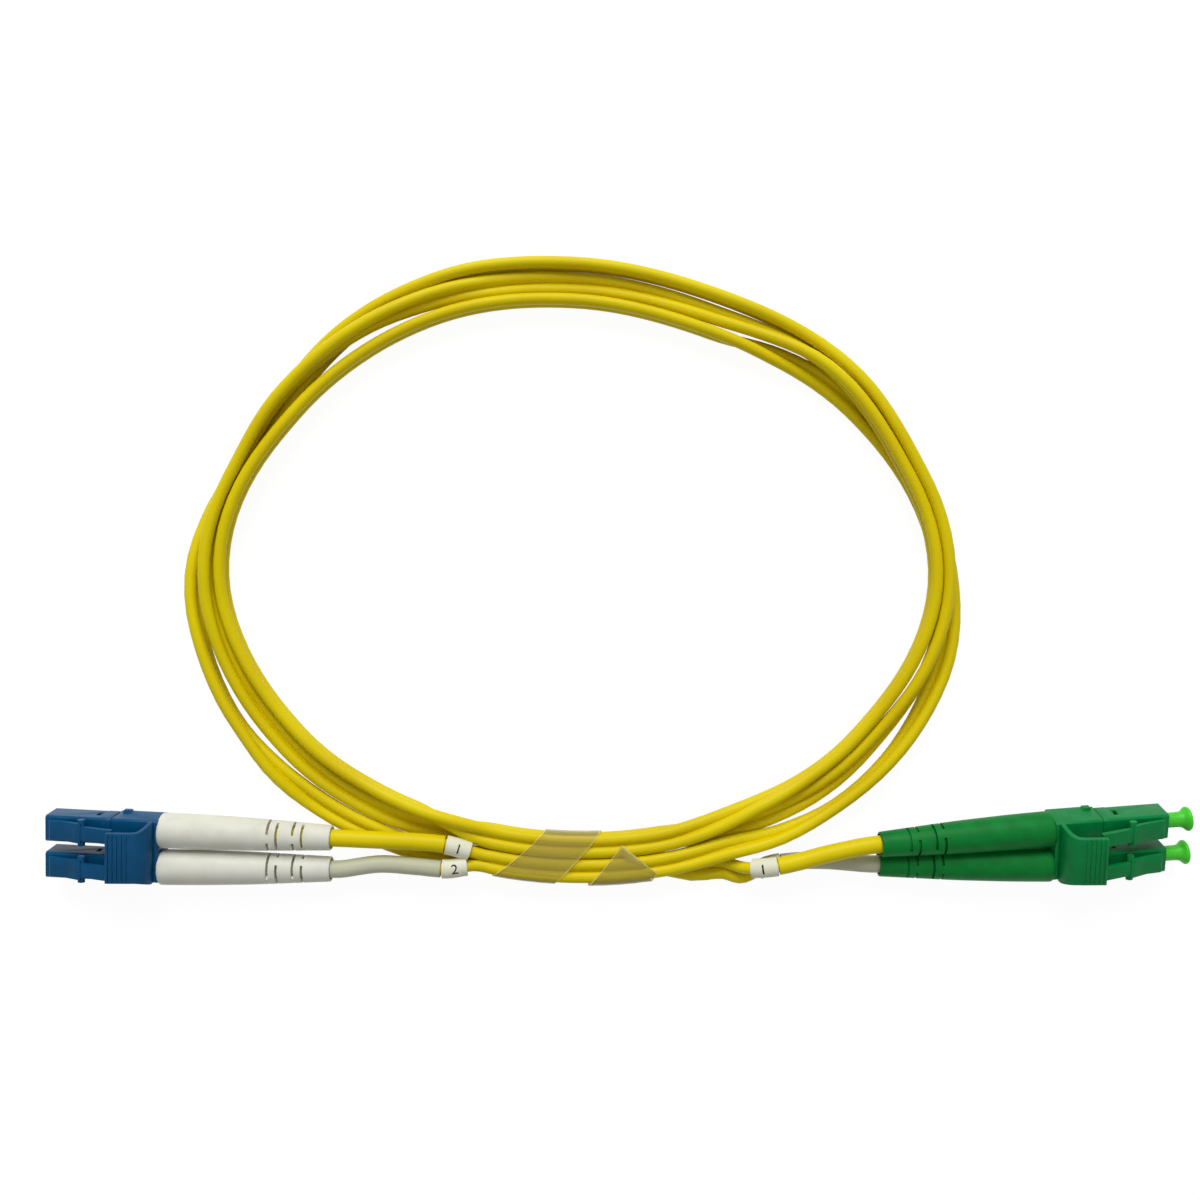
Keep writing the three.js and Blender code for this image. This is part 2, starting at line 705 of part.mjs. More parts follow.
// The coil's inner edge at an angle, as a smooth closed curve through its radii.
function innerEdge(angle) {
  const count = ringInnerRadii.length;
  const place = (THREE.MathUtils.euclideanModulo(angle, 360) / 360) * count;
  const i = Math.floor(place);
  const t = place - i;
  const [a, b, c, d] = [-1, 0, 1, 2].map((k) => ringInnerRadii[(i + k + count) % count]);
  const radius = 0.5 * (2 * b + (c - a) * t + (2 * a - 5 * b + 4 * c - d) * t * t
    + (3 * b - a - 3 * c + d) * t * t * t);
  return new THREE.Vector3(
    ringCentre[0] + radius * Math.sin(radians(angle)),
    ringCentre[1] - radius * Math.cos(radians(angle)),
    0,
  );
}

// The direction out of the coil, square to its inner edge.
function outwards(angle) {
  const along = innerEdge(angle + 0.5).sub(innerEdge(angle - 0.5)).normalize();
  return new THREE.Vector3(along.y, -along.x, 0);
}

// Slopes that carry a column of the route through its rows without overshoot.
function steadySlopes(column) {
  const steps = coilRoute.slice(1).map((row, i) => (
    (row[column] - coilRoute[i][column]) / (row[0] - coilRoute[i][0])
  ));
  return coilRoute.map((_, i) => {
    const [before, after] = [steps[i - 1], steps[i]];
    if (before === undefined || after === undefined || before * after <= 0) return 0;
    return (2 * before * after) / (before + after);
  });
}

const routeSlopes = [1, 2, 3].map(steadySlopes);

function routeAt(angle, column) {
  let i = 0;
  while (i < coilRoute.length - 2 && angle > coilRoute[i + 1][0]) i += 1;
  const [from, to] = [coilRoute[i], coilRoute[i + 1]];
  const width = to[0] - from[0];
  const t = THREE.MathUtils.clamp((angle - from[0]) / width, 0, 1);
  const slopes = routeSlopes[column - 1];
  return from[column] * (1 + 2 * t) * (1 - t) ** 2 + slopes[i] * width * t * (1 - t) ** 2
    + to[column] * t * t * (3 - 2 * t) + slopes[i + 1] * width * t * t * (t - 1);
}

// How far the wrap's lower side holds the cord off the table.
function wrapLift(angle) {
  const place = THREE.MathUtils.euclideanModulo(angle + 180, 360) - 180;
  const beyond = Math.max(wrapHold[0] - place, place - wrapHold[1], 0);
  return holdLift * (1 - THREE.MathUtils.smoothstep(beyond, 0, wrapFade));
}

// Centre of the twin cord, and the direction from its first fibre to its second.
function cordAt(angle) {
  const roll = radians(routeAt(angle, 3));
  const out = outwards(angle);
  const centre = innerEdge(angle).addScaledVector(out, routeAt(angle, 1) * coilPitch);
  centre.z = cordRadius + halfWeb * Math.abs(Math.sin(roll))
    + routeAt(angle, 2) * coilPitch + wrapLift(angle);
  const across = out.multiplyScalar(Math.cos(roll));
  across.z = Math.sin(roll);
  return { centre, across };
}

// The angles at which the coil is drawn.
function coilAngles() {
  const [first, last] = [coilRoute[0][0], coilRoute[coilRoute.length - 1][0]];
  const angles = [first];
  const inFirst = first + straightAngle;
  const inLast = last - straightAngle;
  const start = Math.ceil((inFirst + stepAngle / 3) / stepAngle) * stepAngle;
  angles.push(inFirst);
  for (let angle = start; angle < inLast - stepAngle / 3; angle += stepAngle) angles.push(angle);
  angles.push(inLast, last);
  return angles;
}

// The way the drawn cord runs at a step; its first and last stretches are straight.
function headingAt(angles, i) {
  const last = angles.length - 1;
  let [from, to] = [i - 1, i + 1];
  if (i <= 1) [from, to] = [0, 1];
  if (i >= last - 1) [from, to] = [last - 1, last];
  return cordAt(angles[to]).centre.sub(cordAt(angles[from]).centre).normalize();
}

function twinCord() {
  const angles = coilAngles();
  const sweep = 360 / cordSides;
  return loftOf(angles.map((angle, i) => {
    const { centre, across } = cordAt(angle);
    const ahead = headingAt(angles, i);
    const side = across.clone().addScaledVector(ahead, -across.dot(ahead)).normalize();
    const up = new THREE.Vector3().crossVectors(ahead, side);
    return [1, -1].flatMap((end) => Array.from({ length: cordSides }, (_, k) => {
      const turn = radians(-180 + sweep * (k + 0.5) + (end < 0 ? 180 : 0));
      return centre.clone()
        .addScaledVector(side, end * halfWeb + cordRadius * Math.cos(turn))
        .addScaledVector(up, cordRadius * Math.sin(turn));
    }));
  }));
}

// Least clear space between two turns, measured on points of the drawn coil.
function leastTurnGap() {
  const angles = coilAngles();
  const points = [];
  for (let i = 0; i + 1 < angles.length; i += 1) {
    const [from, to] = [cordAt(angles[i]), cordAt(angles[i + 1])];
    for (const share of [0, 0.25, 0.5, 0.75]) {
      for (const end of [-1, 1]) {
        const a = from.centre.clone().addScaledVector(from.across, end * halfWeb);
        const b = to.centre.clone().addScaledVector(to.across, end * halfWeb);
        const angle = THREE.MathUtils.lerp(angles[i], angles[i + 1], share);
        points.push({ angle, at: a.lerp(b, share) });
      }
    }
  }
  let least = Infinity;
  points.forEach((p, i) => points.slice(i + 1).forEach((q) => {
    if (q.angle - p.angle > 180) least = Math.min(least, p.at.distanceTo(q.at) - legDiameter);
  }));
  return least;
}

// ---------------------------------------------------------------------------
// The single fibres between the twin cord and the boots
// ---------------------------------------------------------------------------

// A fibre's curve, from inside its boot to just short of the twin cord's end.
function legRoute(bootMesh, path, line, coilEnd) {
  const [before, after] = legStraight;
  const inBoot = [
    legStart, bootCavityEnd, (bootCavityEnd + bootEnd) / 2, bootEnd - before, bootEnd + after,
  ].map((x) => bootMesh.localToWorld(new THREE.Vector3(x, 0, 0)));
  const angles = coilAngles();
  const i = coilEnd === "first" ? 0 : angles.length - 1;
  const away = headingAt(angles, i).multiplyScalar(coilEnd === "first" ? -1 : 1);
  const { centre, across } = cordAt(angles[i]);
  const joined = centre.addScaledVector(across, line === 1 ? -halfWeb : halfWeb);
  const atCord = [legDiameter + seatGap, seatGap].map((d) => joined.clone().addScaledVector(away, d));
  return new THREE.CatmullRomCurve3([
    ...inBoot, ...path.map((point) => new THREE.Vector3(...point)), ...atCord,
  ], false, "centripetal");
}

// The part of a curve between two distances along it.
function stretchOf(curve, from, to) {
  const length = curve.getLength();
  const count = Math.max(2, Math.round((to - from) / tubeStep.curve));
  const points = Array.from({ length: count + 1 }, (_, i) => (
    curve.getPointAt(THREE.MathUtils.clamp((from + ((to - from) * i) / count) / length, 0, 1))
  ));
  return new THREE.CatmullRomCurve3(points);
}

// A fibre with its sleeve and its label ring, whose middle is this far from the twin cord.
function dressLeg(prefix, line, curve, ringPlace) {
  const length = curve.getLength();
  const ringFrom = length - ringPlace - ringLength / 2;
  const sleeveFrom = sleeveStart - legStart;
  const fibre = tubeAlong(curve, cordRadius, 0, tubeSides.cord, tubeStep.cord);
  const sleeveCurve = stretchOf(curve, sleeveFrom, ringFrom - sleeveEndGap);
  const sleeve = tubeAlong(
    sleeveCurve, sleeveDiameter / 2, sleeveBore / 2, tubeSides.cord, tubeStep.cord,
  );
  const ringCurve = stretchOf(curve, ringFrom, ringFrom + ringLength);
  const ring = tubeAlong(ringCurve, ringDiameter / 2, ringBore / 2, tubeSides.ring, tubeStep.ring);
  const sleeveFinish = line === 1 ? finish.yellow : finish.whiteSleeve;
  add(patchCord, `${prefix}_fibre_${line}`, fibre, finish.yellow());
  add(patchCord, `${prefix}_sleeve_${line}`, sleeve, sleeveFinish());
  add(patchCord, `${prefix}_label_ring_${line}`, ring, finish.label());
}

// ---------------------------------------------------------------------------
// The spiral wrap round the bundle at the bottom of the coil
// ---------------------------------------------------------------------------

function spiralWrap() {
  const columns = [0, 0.5, 1];
  const steps = Math.round(((wrapTurn[1] - wrapTurn[0]) / 360) * wrapStepsPerTurn);
  const halfAcross = coilPitch + halfWeb + cordRadius + 2 * seatGap;
  const halfTall = (2 * legDiameter + turnGap) / 2 + seatGap + slipGap;
  const level = holdLift + (2 * legDiameter + turnGap) / 2;
  const pace = innerEdge(0).distanceTo(new THREE.Vector3(...ringCentre, 0)) + 2 * coilPitch;
  const power = 2 / wrapSquareness;
  const at = (column, step, proud) => {
    const end = wrapTurn[1] - wrapCut * column;
    const turn = wrapTurn[0] + ((end - wrapTurn[0]) * step) / steps;
    const along = (wrapPitch * turn) / 360 + wrapWidth * column;
    const angle = wrapStart + THREE.MathUtils.radToDeg(along / pace);
    const [c, s] = [Math.cos(radians(turn)), Math.sin(radians(turn))];
    const across = Math.sign(c) * Math.abs(c) ** power * (halfAcross + proud);
    const height = Math.sign(s) * Math.abs(s) ** power * (halfTall + proud);
    const point = innerEdge(angle).addScaledVector(outwards(angle), 2 * coilPitch + across);
    point.z = level + height;
    return point;
  };
  const rings = [];
  for (let step = 0; step <= steps; step += 1) {
    rings.push([
      ...columns.map((column) => at(column, step, 0)),
      ...columns.toReversed().map((column) => at(column, step, wrapThickness)),
    ]);
  }
  return loftOf(rings);
}

// ---------------------------------------------------------------------------
// Assembly
// ---------------------------------------------------------------------------

const blueBoots = duplexEnd(blueEnd, finish.blue, finish.whiteBoot, false);
const greenBoots = duplexEnd(greenEnd, finish.green, finish.greenBoot, true);
for (const line of [1, 2]) {
  const blueLeg = legRoute(blueBoots[line], bluePath[line], line, "first");
  dressLeg("blue", line, blueLeg, blueRingPlace);
  const greenLeg = legRoute(greenBoots[line], greenPath[line], line, "last");
  dressLeg("green", line, greenLeg, greenRingPlace);
}
add(patchCord, "coiled_cord", twinCord(), finish.yellow());
add(patchCord, "spiral_wrap", spiralWrap(), finish.wrap());
console.log(`least gap between the coil's turns: ${leastTurnGap().toFixed(3)} mm`);

// The frame's origin is under the middle of the two connectors, at their lowest point.
const connectors = new THREE.Box3();
for (const end of connectorEnds) connectors.expandByObject(end, true);
const origin = connectors.getCenter(new THREE.Vector3());
origin.z = connectors.min.z;
patchCord.position.copy(origin).negate();
console.log(`frame origin in the layout's millimetres: ${origin.toArray().map((v) => v.toFixed(3))}`);

export default patchCord;
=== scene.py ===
# %% [markdown]
# # A duplex fibre optic patch cord, dressed
#
# The part is a twin yellow cord with two plugs in a clip at each end. The CAD
# model gives the fixed frame: every solid sits where it belongs, in metres. This
# script builds finer pieces over those solids, gives each a material, and lights
# them as the photograph does. Each step first says what the real piece is.

# %% Tools and the fixed frame
import math

import bmesh
import bpy
import numpy as np
from mathutils import Matrix, Vector


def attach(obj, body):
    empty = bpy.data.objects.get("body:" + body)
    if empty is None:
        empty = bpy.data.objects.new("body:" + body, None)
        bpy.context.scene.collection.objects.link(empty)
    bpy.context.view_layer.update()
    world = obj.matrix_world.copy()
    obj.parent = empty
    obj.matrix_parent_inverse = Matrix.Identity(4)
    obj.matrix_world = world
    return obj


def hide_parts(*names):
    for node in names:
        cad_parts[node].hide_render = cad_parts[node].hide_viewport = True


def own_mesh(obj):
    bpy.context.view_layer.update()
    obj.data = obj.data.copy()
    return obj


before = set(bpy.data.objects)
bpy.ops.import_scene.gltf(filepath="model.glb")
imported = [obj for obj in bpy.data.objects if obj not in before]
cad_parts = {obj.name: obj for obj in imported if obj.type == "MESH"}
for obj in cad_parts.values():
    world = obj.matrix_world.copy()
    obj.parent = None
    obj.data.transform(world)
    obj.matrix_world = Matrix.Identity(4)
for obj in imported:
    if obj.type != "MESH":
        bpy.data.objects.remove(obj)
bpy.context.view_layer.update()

# %% [markdown]
# ## Two sets of units
#
# The cord was laid out in millimetres with the coil's centre near (0, 0). The
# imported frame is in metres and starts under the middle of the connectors. One
# function carries layout points across, so that every size below can be written
# in millimetres, as on a drawing.

# %% From layout millimetres to the frame's metres
MM = 0.001
LAYOUT_ORIGIN = Vector((3.029, -40.936, 0.0))
TO_FRAME = Matrix.Scale(MM, 4) @ Matrix.Translation(-LAYOUT_ORIGIN)


def in_frame(points):
    """Layout points in millimetres, as points of the frame in metres."""
    return (np.asarray(points, float) - np.array(LAYOUT_ORIGIN)) * MM


print("layout's centre in the frame:", in_frame([[0, 0, 0]])[0])

# %% [markdown]
# ## The camera
#
# The photograph looks straight down from about 205 mm. A wide lens that close
# gives the strong perspective of the plugs: their outer sides show because they
# lie far from the picture's middle.

# %% Camera
CAMERA_HEIGHT = 205.0
SENSOR_WIDTH = 36.0
FOCAL_PIXELS, IMAGE_PIXELS = 1199.0, 1200.0
camera_data = bpy.data.cameras.new("camera")
camera_data.sensor_width = SENSOR_WIDTH
camera_data.lens = SENSOR_WIDTH * FOCAL_PIXELS / IMAGE_PIXELS
camera_data.clip_start = 0.01
camera = bpy.data.objects.new("camera", camera_data)
camera.location = Vector(in_frame([[0, 0, CAMERA_HEIGHT]])[0])
bpy.context.scene.collection.objects.link(camera)
bpy.context.scene.camera = camera
print(f"lens {camera_data.lens:.2f} mm at {camera.location.z:.3f} m")

# %% [markdown]
# ## Materials: the two helpers
#
# Colours are picked as sRGB hex values, which is how a screen shows them, but
# light adds up in linear values, so one function converts them. A second one
# adds a shader node with its settings and its links in a single call.

# %% Colour and node helpers


def linear(hex_colour):
    """An sRGB hex colour such as "d2c20c" as the linear RGBA that a shader wants."""
    parts = [int(hex_colour[i : i + 2], 16) / 255 for i in (0, 2, 4)]
    light = [p / 12.92 if p <= 0.04045 else ((p + 0.055) / 1.055) ** 2.4 for p in parts]
    return (*light, 1.0)


def set_inputs(tree, node, inputs):
    """Sets a node's inputs. A value is plain, or another node's output socket."""
    for name, value in inputs.items():
        socket = node.inputs[name]
        if isinstance(value, bpy.types.NodeSocket):
            tree.links.new(value, socket)
        else:
            socket.default_value = value


def add_node(tree, kind, inputs=None, **settings):
    """Adds a node with its settings and its inputs."""
    node = tree.nodes.new(kind)
    for name, value in settings.items():
        setattr(node, name, value)
    set_inputs(tree, node, inputs or {})
    return node


def empty_tree(owner):
    """The node tree of a material or a world, with nothing in it."""
    owner.use_nodes = True
    owner.node_tree.nodes.clear()
    return owner.node_tree


def new_material(name):
    """A material, its tree and its Principled shader, and a point's place in its piece."""
    material = bpy.data.materials.new(name)
    tree = empty_tree(material)
    shader = add_node(tree, "ShaderNodeBsdfPrincipled")
    add_node(tree, "ShaderNodeOutputMaterial", {"Surface": shader.outputs["BSDF"]})
    place = add_node(tree, "ShaderNodeTexCoord").outputs["Object"]
    return material, tree, shader, place


def noise(tree, place, scale, detail):
    """A noise texture's value, from 0 to 1."""
    inputs = {"Vector": place, "Scale": scale, "Detail": detail}
    return add_node(tree, "ShaderNodeTexNoise", inputs).outputs["Fac"]


def calculate(tree, operation, a, b):
    """Two values put together by a Math node."""
    return add_node(tree, "ShaderNodeMath", {0: a, 1: b}, operation=operation).outputs[0]


def bump(tree, height, strength, distance):
    """A surface's normal, bent by a height. The distance is in metres."""
    inputs = {"Height": height, "Strength": strength, "Distance": distance}
    return add_node(tree, "ShaderNodeBump", inputs).outputs["Normal"]


def two_tone(tree, factor, light, dark, stops=(0.3, 0.7)):
    """A colour between dark and light, as the factor goes between its two stops."""
    node = add_node(tree, "ShaderNodeValToRGB", {"Fac": factor})
    for element, place, colour in zip(node.color_ramp.elements, stops, (dark, light)):
        element.position, element.color = place, linear(colour)
    return node.outputs["Color"]


print("mid yellow in linear light:", [round(c, 3) for c in linear("d2c20c")[:3]])

# %% [markdown]
# ## Yellow cord jacket
#
# The jacket is soft low-smoke PVC, extruded round the fibre and its yarn. To the
# eye it gives a saturated yellow, a soft highlight along each turn, and faint
# lines left by the die. The lines run along the cord, so they read the piece's
# own UV map: u is the way along in millimetres and v goes once round a fibre.

# %% Cord jacket material
DIE_LINES_ROUND = 26  # about 0.25 mm apart round a 2 mm fibre


def jacket(name, light, dark, roughness, gloss):
    """Extruded soft PVC: die lines along it, and a slow change of tone."""
    material, tree, shader, place = new_material(name)
    uv = add_node(tree, "ShaderNodeUVMap", uv_map="along").outputs["UV"]
    along = add_node(
        tree, "ShaderNodeMapping", {"Vector": uv, "Scale": (0.02, DIE_LINES_ROUND, 1)}
    ).outputs["Vector"]
    lines = noise(tree, along, scale=1, detail=2)
    height = calculate(tree, "ADD", lines, noise(tree, place, scale=6000, detail=1))
    set_inputs(tree, shader, {
        "Base Color": two_tone(tree, noise(tree, place, scale=60, detail=1), light, dark),
        "Normal": bump(tree, height, strength=0.25, distance=0.00004),
        "Roughness": roughness, "IOR": 1.53, "Specular IOR Level": gloss,
    })
    return material


YELLOW_PVC = jacket("yellow_pvc_jacket", "e8d402", "dcc400", 0.38, 0.12)
WHITE_PVC = jacket("white_pvc_sleeving", "c8cab0", "bcbea0", 0.45, 0.2)
print("jackets:", YELLOW_PVC.name, WHITE_PVC.name)

# %% [markdown]
# ## Moulded plastics
#
# The plugs, clips and triggers are injection-moulded PBT. The mould's spark-eroded
# skin gives it a fine grain and a satin sheen, and the rounded edges of the mesh
# catch the light. The boots are a softer thermoplastic rubber, with a broader and
# duller highlight.

# %% Moulded material
GRAIN_MM = 0.12  # coarser than a real mould's grain, so that it shows


def moulded(name, light, dark, roughness, strength=0.3):
    """Moulded plastic with a spark-eroded grain and a slow change of tone."""
    material, tree, shader, place = new_material(name)
    grain = noise(tree, place, scale=1 / (GRAIN_MM * MM), detail=2)
    set_inputs(tree, shader, {
        "Base Color": two_tone(tree, noise(tree, place, scale=400, detail=3), light, dark),
        "Normal": bump(tree, grain, strength, distance=0.00002),
        "Roughness": roughness, "IOR": 1.55, "Specular IOR Level": 0.12,
    })
    return material


BLUE_PBT = moulded("blue_pbt", "02507e", "014870", 0.36)
GREEN_PBT = moulded("green_pbt", "028643", "017a3b", 0.38)
WHITE_TPE = moulded("white_tpe", "e9e9dd", "dfdfd0", 0.5)
GREEN_TPE = moulded("green_tpe", "017f31", "017029", 0.46)
LABEL_FILM = moulded("white_label_film", "eeeed8", "e4e4ca", 0.55, 0.15)
PRINT_INK = moulded("black_print_ink", "1c1c1c", "141414", 0.6, 0.1)
print("moulded:", BLUE_PBT.name, GREEN_PBT.name, WHITE_TPE.name, GREEN_TPE.name)

# %% [markdown]
# ## Translucent plastics
#
# The spiral wrap is cut from milky polypropylene film: what lies under it shows
# through. Its rims carry a painted highlight, a lighter and denser colour that
# stands in for the light they catch. The dust caps are lime polyethylene, which
# lets some light pass inside, so they glow a little at their thin rims.

# %% Translucent materials


def milky_film(name, colour, rim_highlight_colour, milk, rim_highlight_milk):
    """Thin film: part clear, part a pale scattering skin. Its rims get more cover and a lighter
    colour, a painted highlight.
    """
    material, tree, shader, place = new_material(name)
    rim = add_node(tree, "ShaderNodeAttribute", attribute_name="rim").outputs["Fac"]

    def spread(value, low, high):
        inputs = {"Value": value, "To Min": low, "To Max": high}
        return add_node(tree, "ShaderNodeMapRange", inputs).outputs["Result"]

    grain = noise(tree, place, scale=2500, detail=1)
    # painted highlight: where the rim attribute is high, the film takes the lighter rim colour and
    # more cover
    set_inputs(tree, shader, {
        "Base Color": two_tone(tree, rim, rim_highlight_colour, colour, stops=(0.8, 0.95)),
        "Roughness": spread(noise(tree, place, scale=250, detail=2), 0.25, 0.4),
        "Normal": bump(tree, grain, strength=0.2, distance=0.00003),
        "Alpha": spread(rim, milk, rim_highlight_milk), "IOR": 1.49,
    })
    return material


# the rim colour f0e47e is a painted highlight, lighter than the film itself
CLEAR_PP = milky_film("milky_polypropylene", "bcae4a", "f0e47e", 0.27, 0.8)


def soft_translucent(name, light, dark, roughness, scatter, ior=1.51):
    """Light enters, scatters and comes out tinted, as in polyethylene or a ceramic."""
    material, tree, shader, place = new_material(name)
    set_inputs(tree, shader, {
        "Base Color": two_tone(tree, noise(tree, place, scale=500, detail=2), light, dark),
        "Roughness": roughness, "IOR": ior, "Specular IOR Level": 0.3,
        "Subsurface Weight": scatter, "Subsurface Radius": (0.4, 1.0, 0.2),
        "Subsurface Scale": 0.001,
    })
    return material


LIME_PE = soft_translucent("lime_polyethylene", "4ad62c", "3ec422", 0.35, 0.4)
print("translucent:", CLEAR_PP.name, LIME_PE.name)

# %% [markdown]
# ## What is inside the plug
#
# Zirconia ceramic is ground and polished: dense, white and glossy. The flange is
# nickel-plated brass, turned on a lathe, so its highlight is drawn out round it.
# The spring is hard-drawn steel, the crimp ring soft aluminium that the tool
# has pressed, and the rear body a plain moulding.

# %% Ceramic and metals


def turned_metal(name, light, dark, roughness, groove_mm):
    """Metal with fine tool marks across the X axis that it was turned on."""
    material, tree, shader, place = new_material(name)
    stretched = add_node(
        tree, "ShaderNodeMapping", {"Vector": place, "Scale": (1, 0.05, 0.05)}
    ).outputs["Vector"]
    marks = noise(tree, stretched, scale=1 / (groove_mm * MM), detail=2)
    set_inputs(tree, shader, {
        "Base Color": two_tone(tree, marks, light, dark),
        "Normal": bump(tree, marks, strength=0.3, distance=0.00001),
        "Metallic": 1.0, "Roughness": roughness,
    })
    return material


ZIRCONIA = soft_translucent("zirconia_ceramic", "f7f5ee", "efece2", 0.12, 0.15, ior=2.1)
NICKEL_BRASS = turned_metal("nickel_plated_brass", "d8d2c0", "b9b29e", 0.3, 0.1)
SPRING_STEEL = turned_metal("drawn_spring_steel", "c6c6c4", "9b9b99", 0.28, 0.15)
CRIMP_ALUMINIUM = turned_metal("pressed_aluminium", "d0d0cd", "b4b4b0", 0.38, 0.2)
INNER_ABS = moulded("inner_abs", "e6e4da", "dad7cb", 0.5)
BUFFER_PVC = moulded("buffer_pvc", "f0efe8", "e4e2d8", 0.45)
print("inside:", ZIRCONIA.name, NICKEL_BRASS.name, SPRING_STEEL.name)

# %% [markdown]
# ## Making meshes
#
# Most pieces are either a skin through a row of rings or a flat outline pulled
# into a bar. Both are made in millimetres with plain lists of points. Rounded
# edges then come from a Bevel modifier, and slots from a Boolean one. The last
# step carries the finished mesh into the frame, so its object stays at the
# origin.

# %% Mesh helpers


def raw_object(name, points, faces):
    """An object from points and faces, with its normals turned outwards."""
    mesh = bpy.data.meshes.new(name)
    mesh.from_pydata([tuple(p) for p in points], [], faces)
    made = bpy.data.objects.new(name, mesh)
    bpy.context.scene.collection.objects.link(made)
    return made


def face_outwards(made):
    """Welds doubles and turns every face of a closed mesh outwards."""
    work = bmesh.new()
    work.from_mesh(made.data)
    bmesh.ops.remove_doubles(work, verts=work.verts, dist=1e-5)
    bmesh.ops.recalc_face_normals(work, faces=work.faces)
    work.to_mesh(made.data)
    work.free()
    return made


def skin(name, rings, closed=False):
    """A closed skin through rings that have the same number of points."""
    count = len(rings[0])
    points = [p for ring in rings for p in ring]
    faces = []
    last = len(rings) if closed else len(rings) - 1
    for i in range(last):
        for k in range(count):
            a, b = i * count + k, i * count + (k + 1) % count
            c, d = (a + count) % len(points), (b + count) % len(points)
            faces.append((a, b, d, c))
    if not closed:
        faces.append(tuple(range(count))[::-1])
        faces.append(tuple(range(len(points) - count, len(points))))
    return face_outwards(raw_object(name, points, faces))


def turned(name, profile, sides):
    """A turned piece on the X axis, from [x, radius] points that run round its wall."""
    angles = [2 * math.pi * k / sides for k in range(sides)]
    rings = [
        [(x, r * math.cos(a), r * math.sin(a)) for x, r in profile] for a in angles
    ]
    return skin(name, rings, closed=True)


def bar(name, sections):
    """A bar along X through its sections, each an x and an outline in Y and Z."""
    return skin(name, [[(x, y, z) for y, z in outline] for x, outline in sections])


def plate(name, outline, width, middle=0.0):
    """A plate across Y, from its side outline in X and Z."""
    sides = (middle - width / 2, middle + width / 2)
    return skin(name, [[(x, y, z) for x, z in outline] for y in sides])


def block(name, low, high):
    """A box that other pieces are cut with or joined to."""
    (x0, y0, z0), (x1, y1, z1) = low, high
    outline = [(y0, z0), (y1, z0), (y1, z1), (y0, z1)]
    return bar(name, [(x0, outline), (x1, outline)])


def settle(made):
    """Turns an object's modifiers into plain mesh."""
    graph = bpy.context.evaluated_depsgraph_get()
    mesh = bpy.data.meshes.new_from_object(made.evaluated_get(graph))
    made.modifiers.clear()
    made.data = mesh
    return made


def combine(made, others, operation):
    """Joins others to a piece, or cuts them out of it."""
    for other in others:
        step = made.modifiers.new("combine", "BOOLEAN")
        step.operation, step.solver, step.object = operation, "EXACT", other
    settle(made)
    for other in others:
        bpy.data.objects.remove(other)
    return made


def round_edges(made, width, segments=2, angle=32):
    """Rounds every edge that is sharper than an angle, as a mould's tool does."""
    step = made.modifiers.new("edges", "BEVEL")
    step.width, step.segments = width, segments
    step.limit_method, step.angle_limit = "ANGLE", math.radians(angle)
    return settle(made)


def finish_piece(made, matrix, material, smooth=40):
    """Carries a piece from its own millimetres into the frame and shades it."""
    made.data.transform(TO_FRAME @ matrix)
    if (TO_FRAME @ matrix).determinant() < 0:
        made.data.flip_normals()
    made.data.shade_smooth()
    made.data.set_sharp_from_angle(angle=math.radians(smooth))
    made.data.materials.clear()
    made.data.materials.append(material)
    return made


def dress(made, material, slot, node, matrix=Matrix.Identity(4), body="cord_and_plugs", smooth=60):
    """Finishes a piece, attaches it to the body it rides on and hides the solid it replaces. Its
    slot is not used.
    """
    finish_piece(made, matrix, material, smooth)
    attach(made, body)
    if node:
        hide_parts(node)
    return made


def distances(points):
    """How far along a row of points each one lies."""
    return np.concatenate([[0], np.cumsum(np.linalg.norm(np.diff(points, axis=0), axis=1))])


print("mesh helpers ready")

# %% [markdown]
# ## The route of the coil
#
# The coil is three turns of twin cord. Each row below says, at an angle round
# the coil from its bottom, how far across the bundle the cord lies, in which
# layer, and how it is rolled: 0 is flat and 90 stands one fibre on the other.
# The rows are those of the CAD source, and a smooth curve runs through them. The
# solid keeps its turns 2.49 mm apart, to stay clear of itself. Here they are as
# close as in reality, and the inner radii are 0.8 mm larger in exchange.

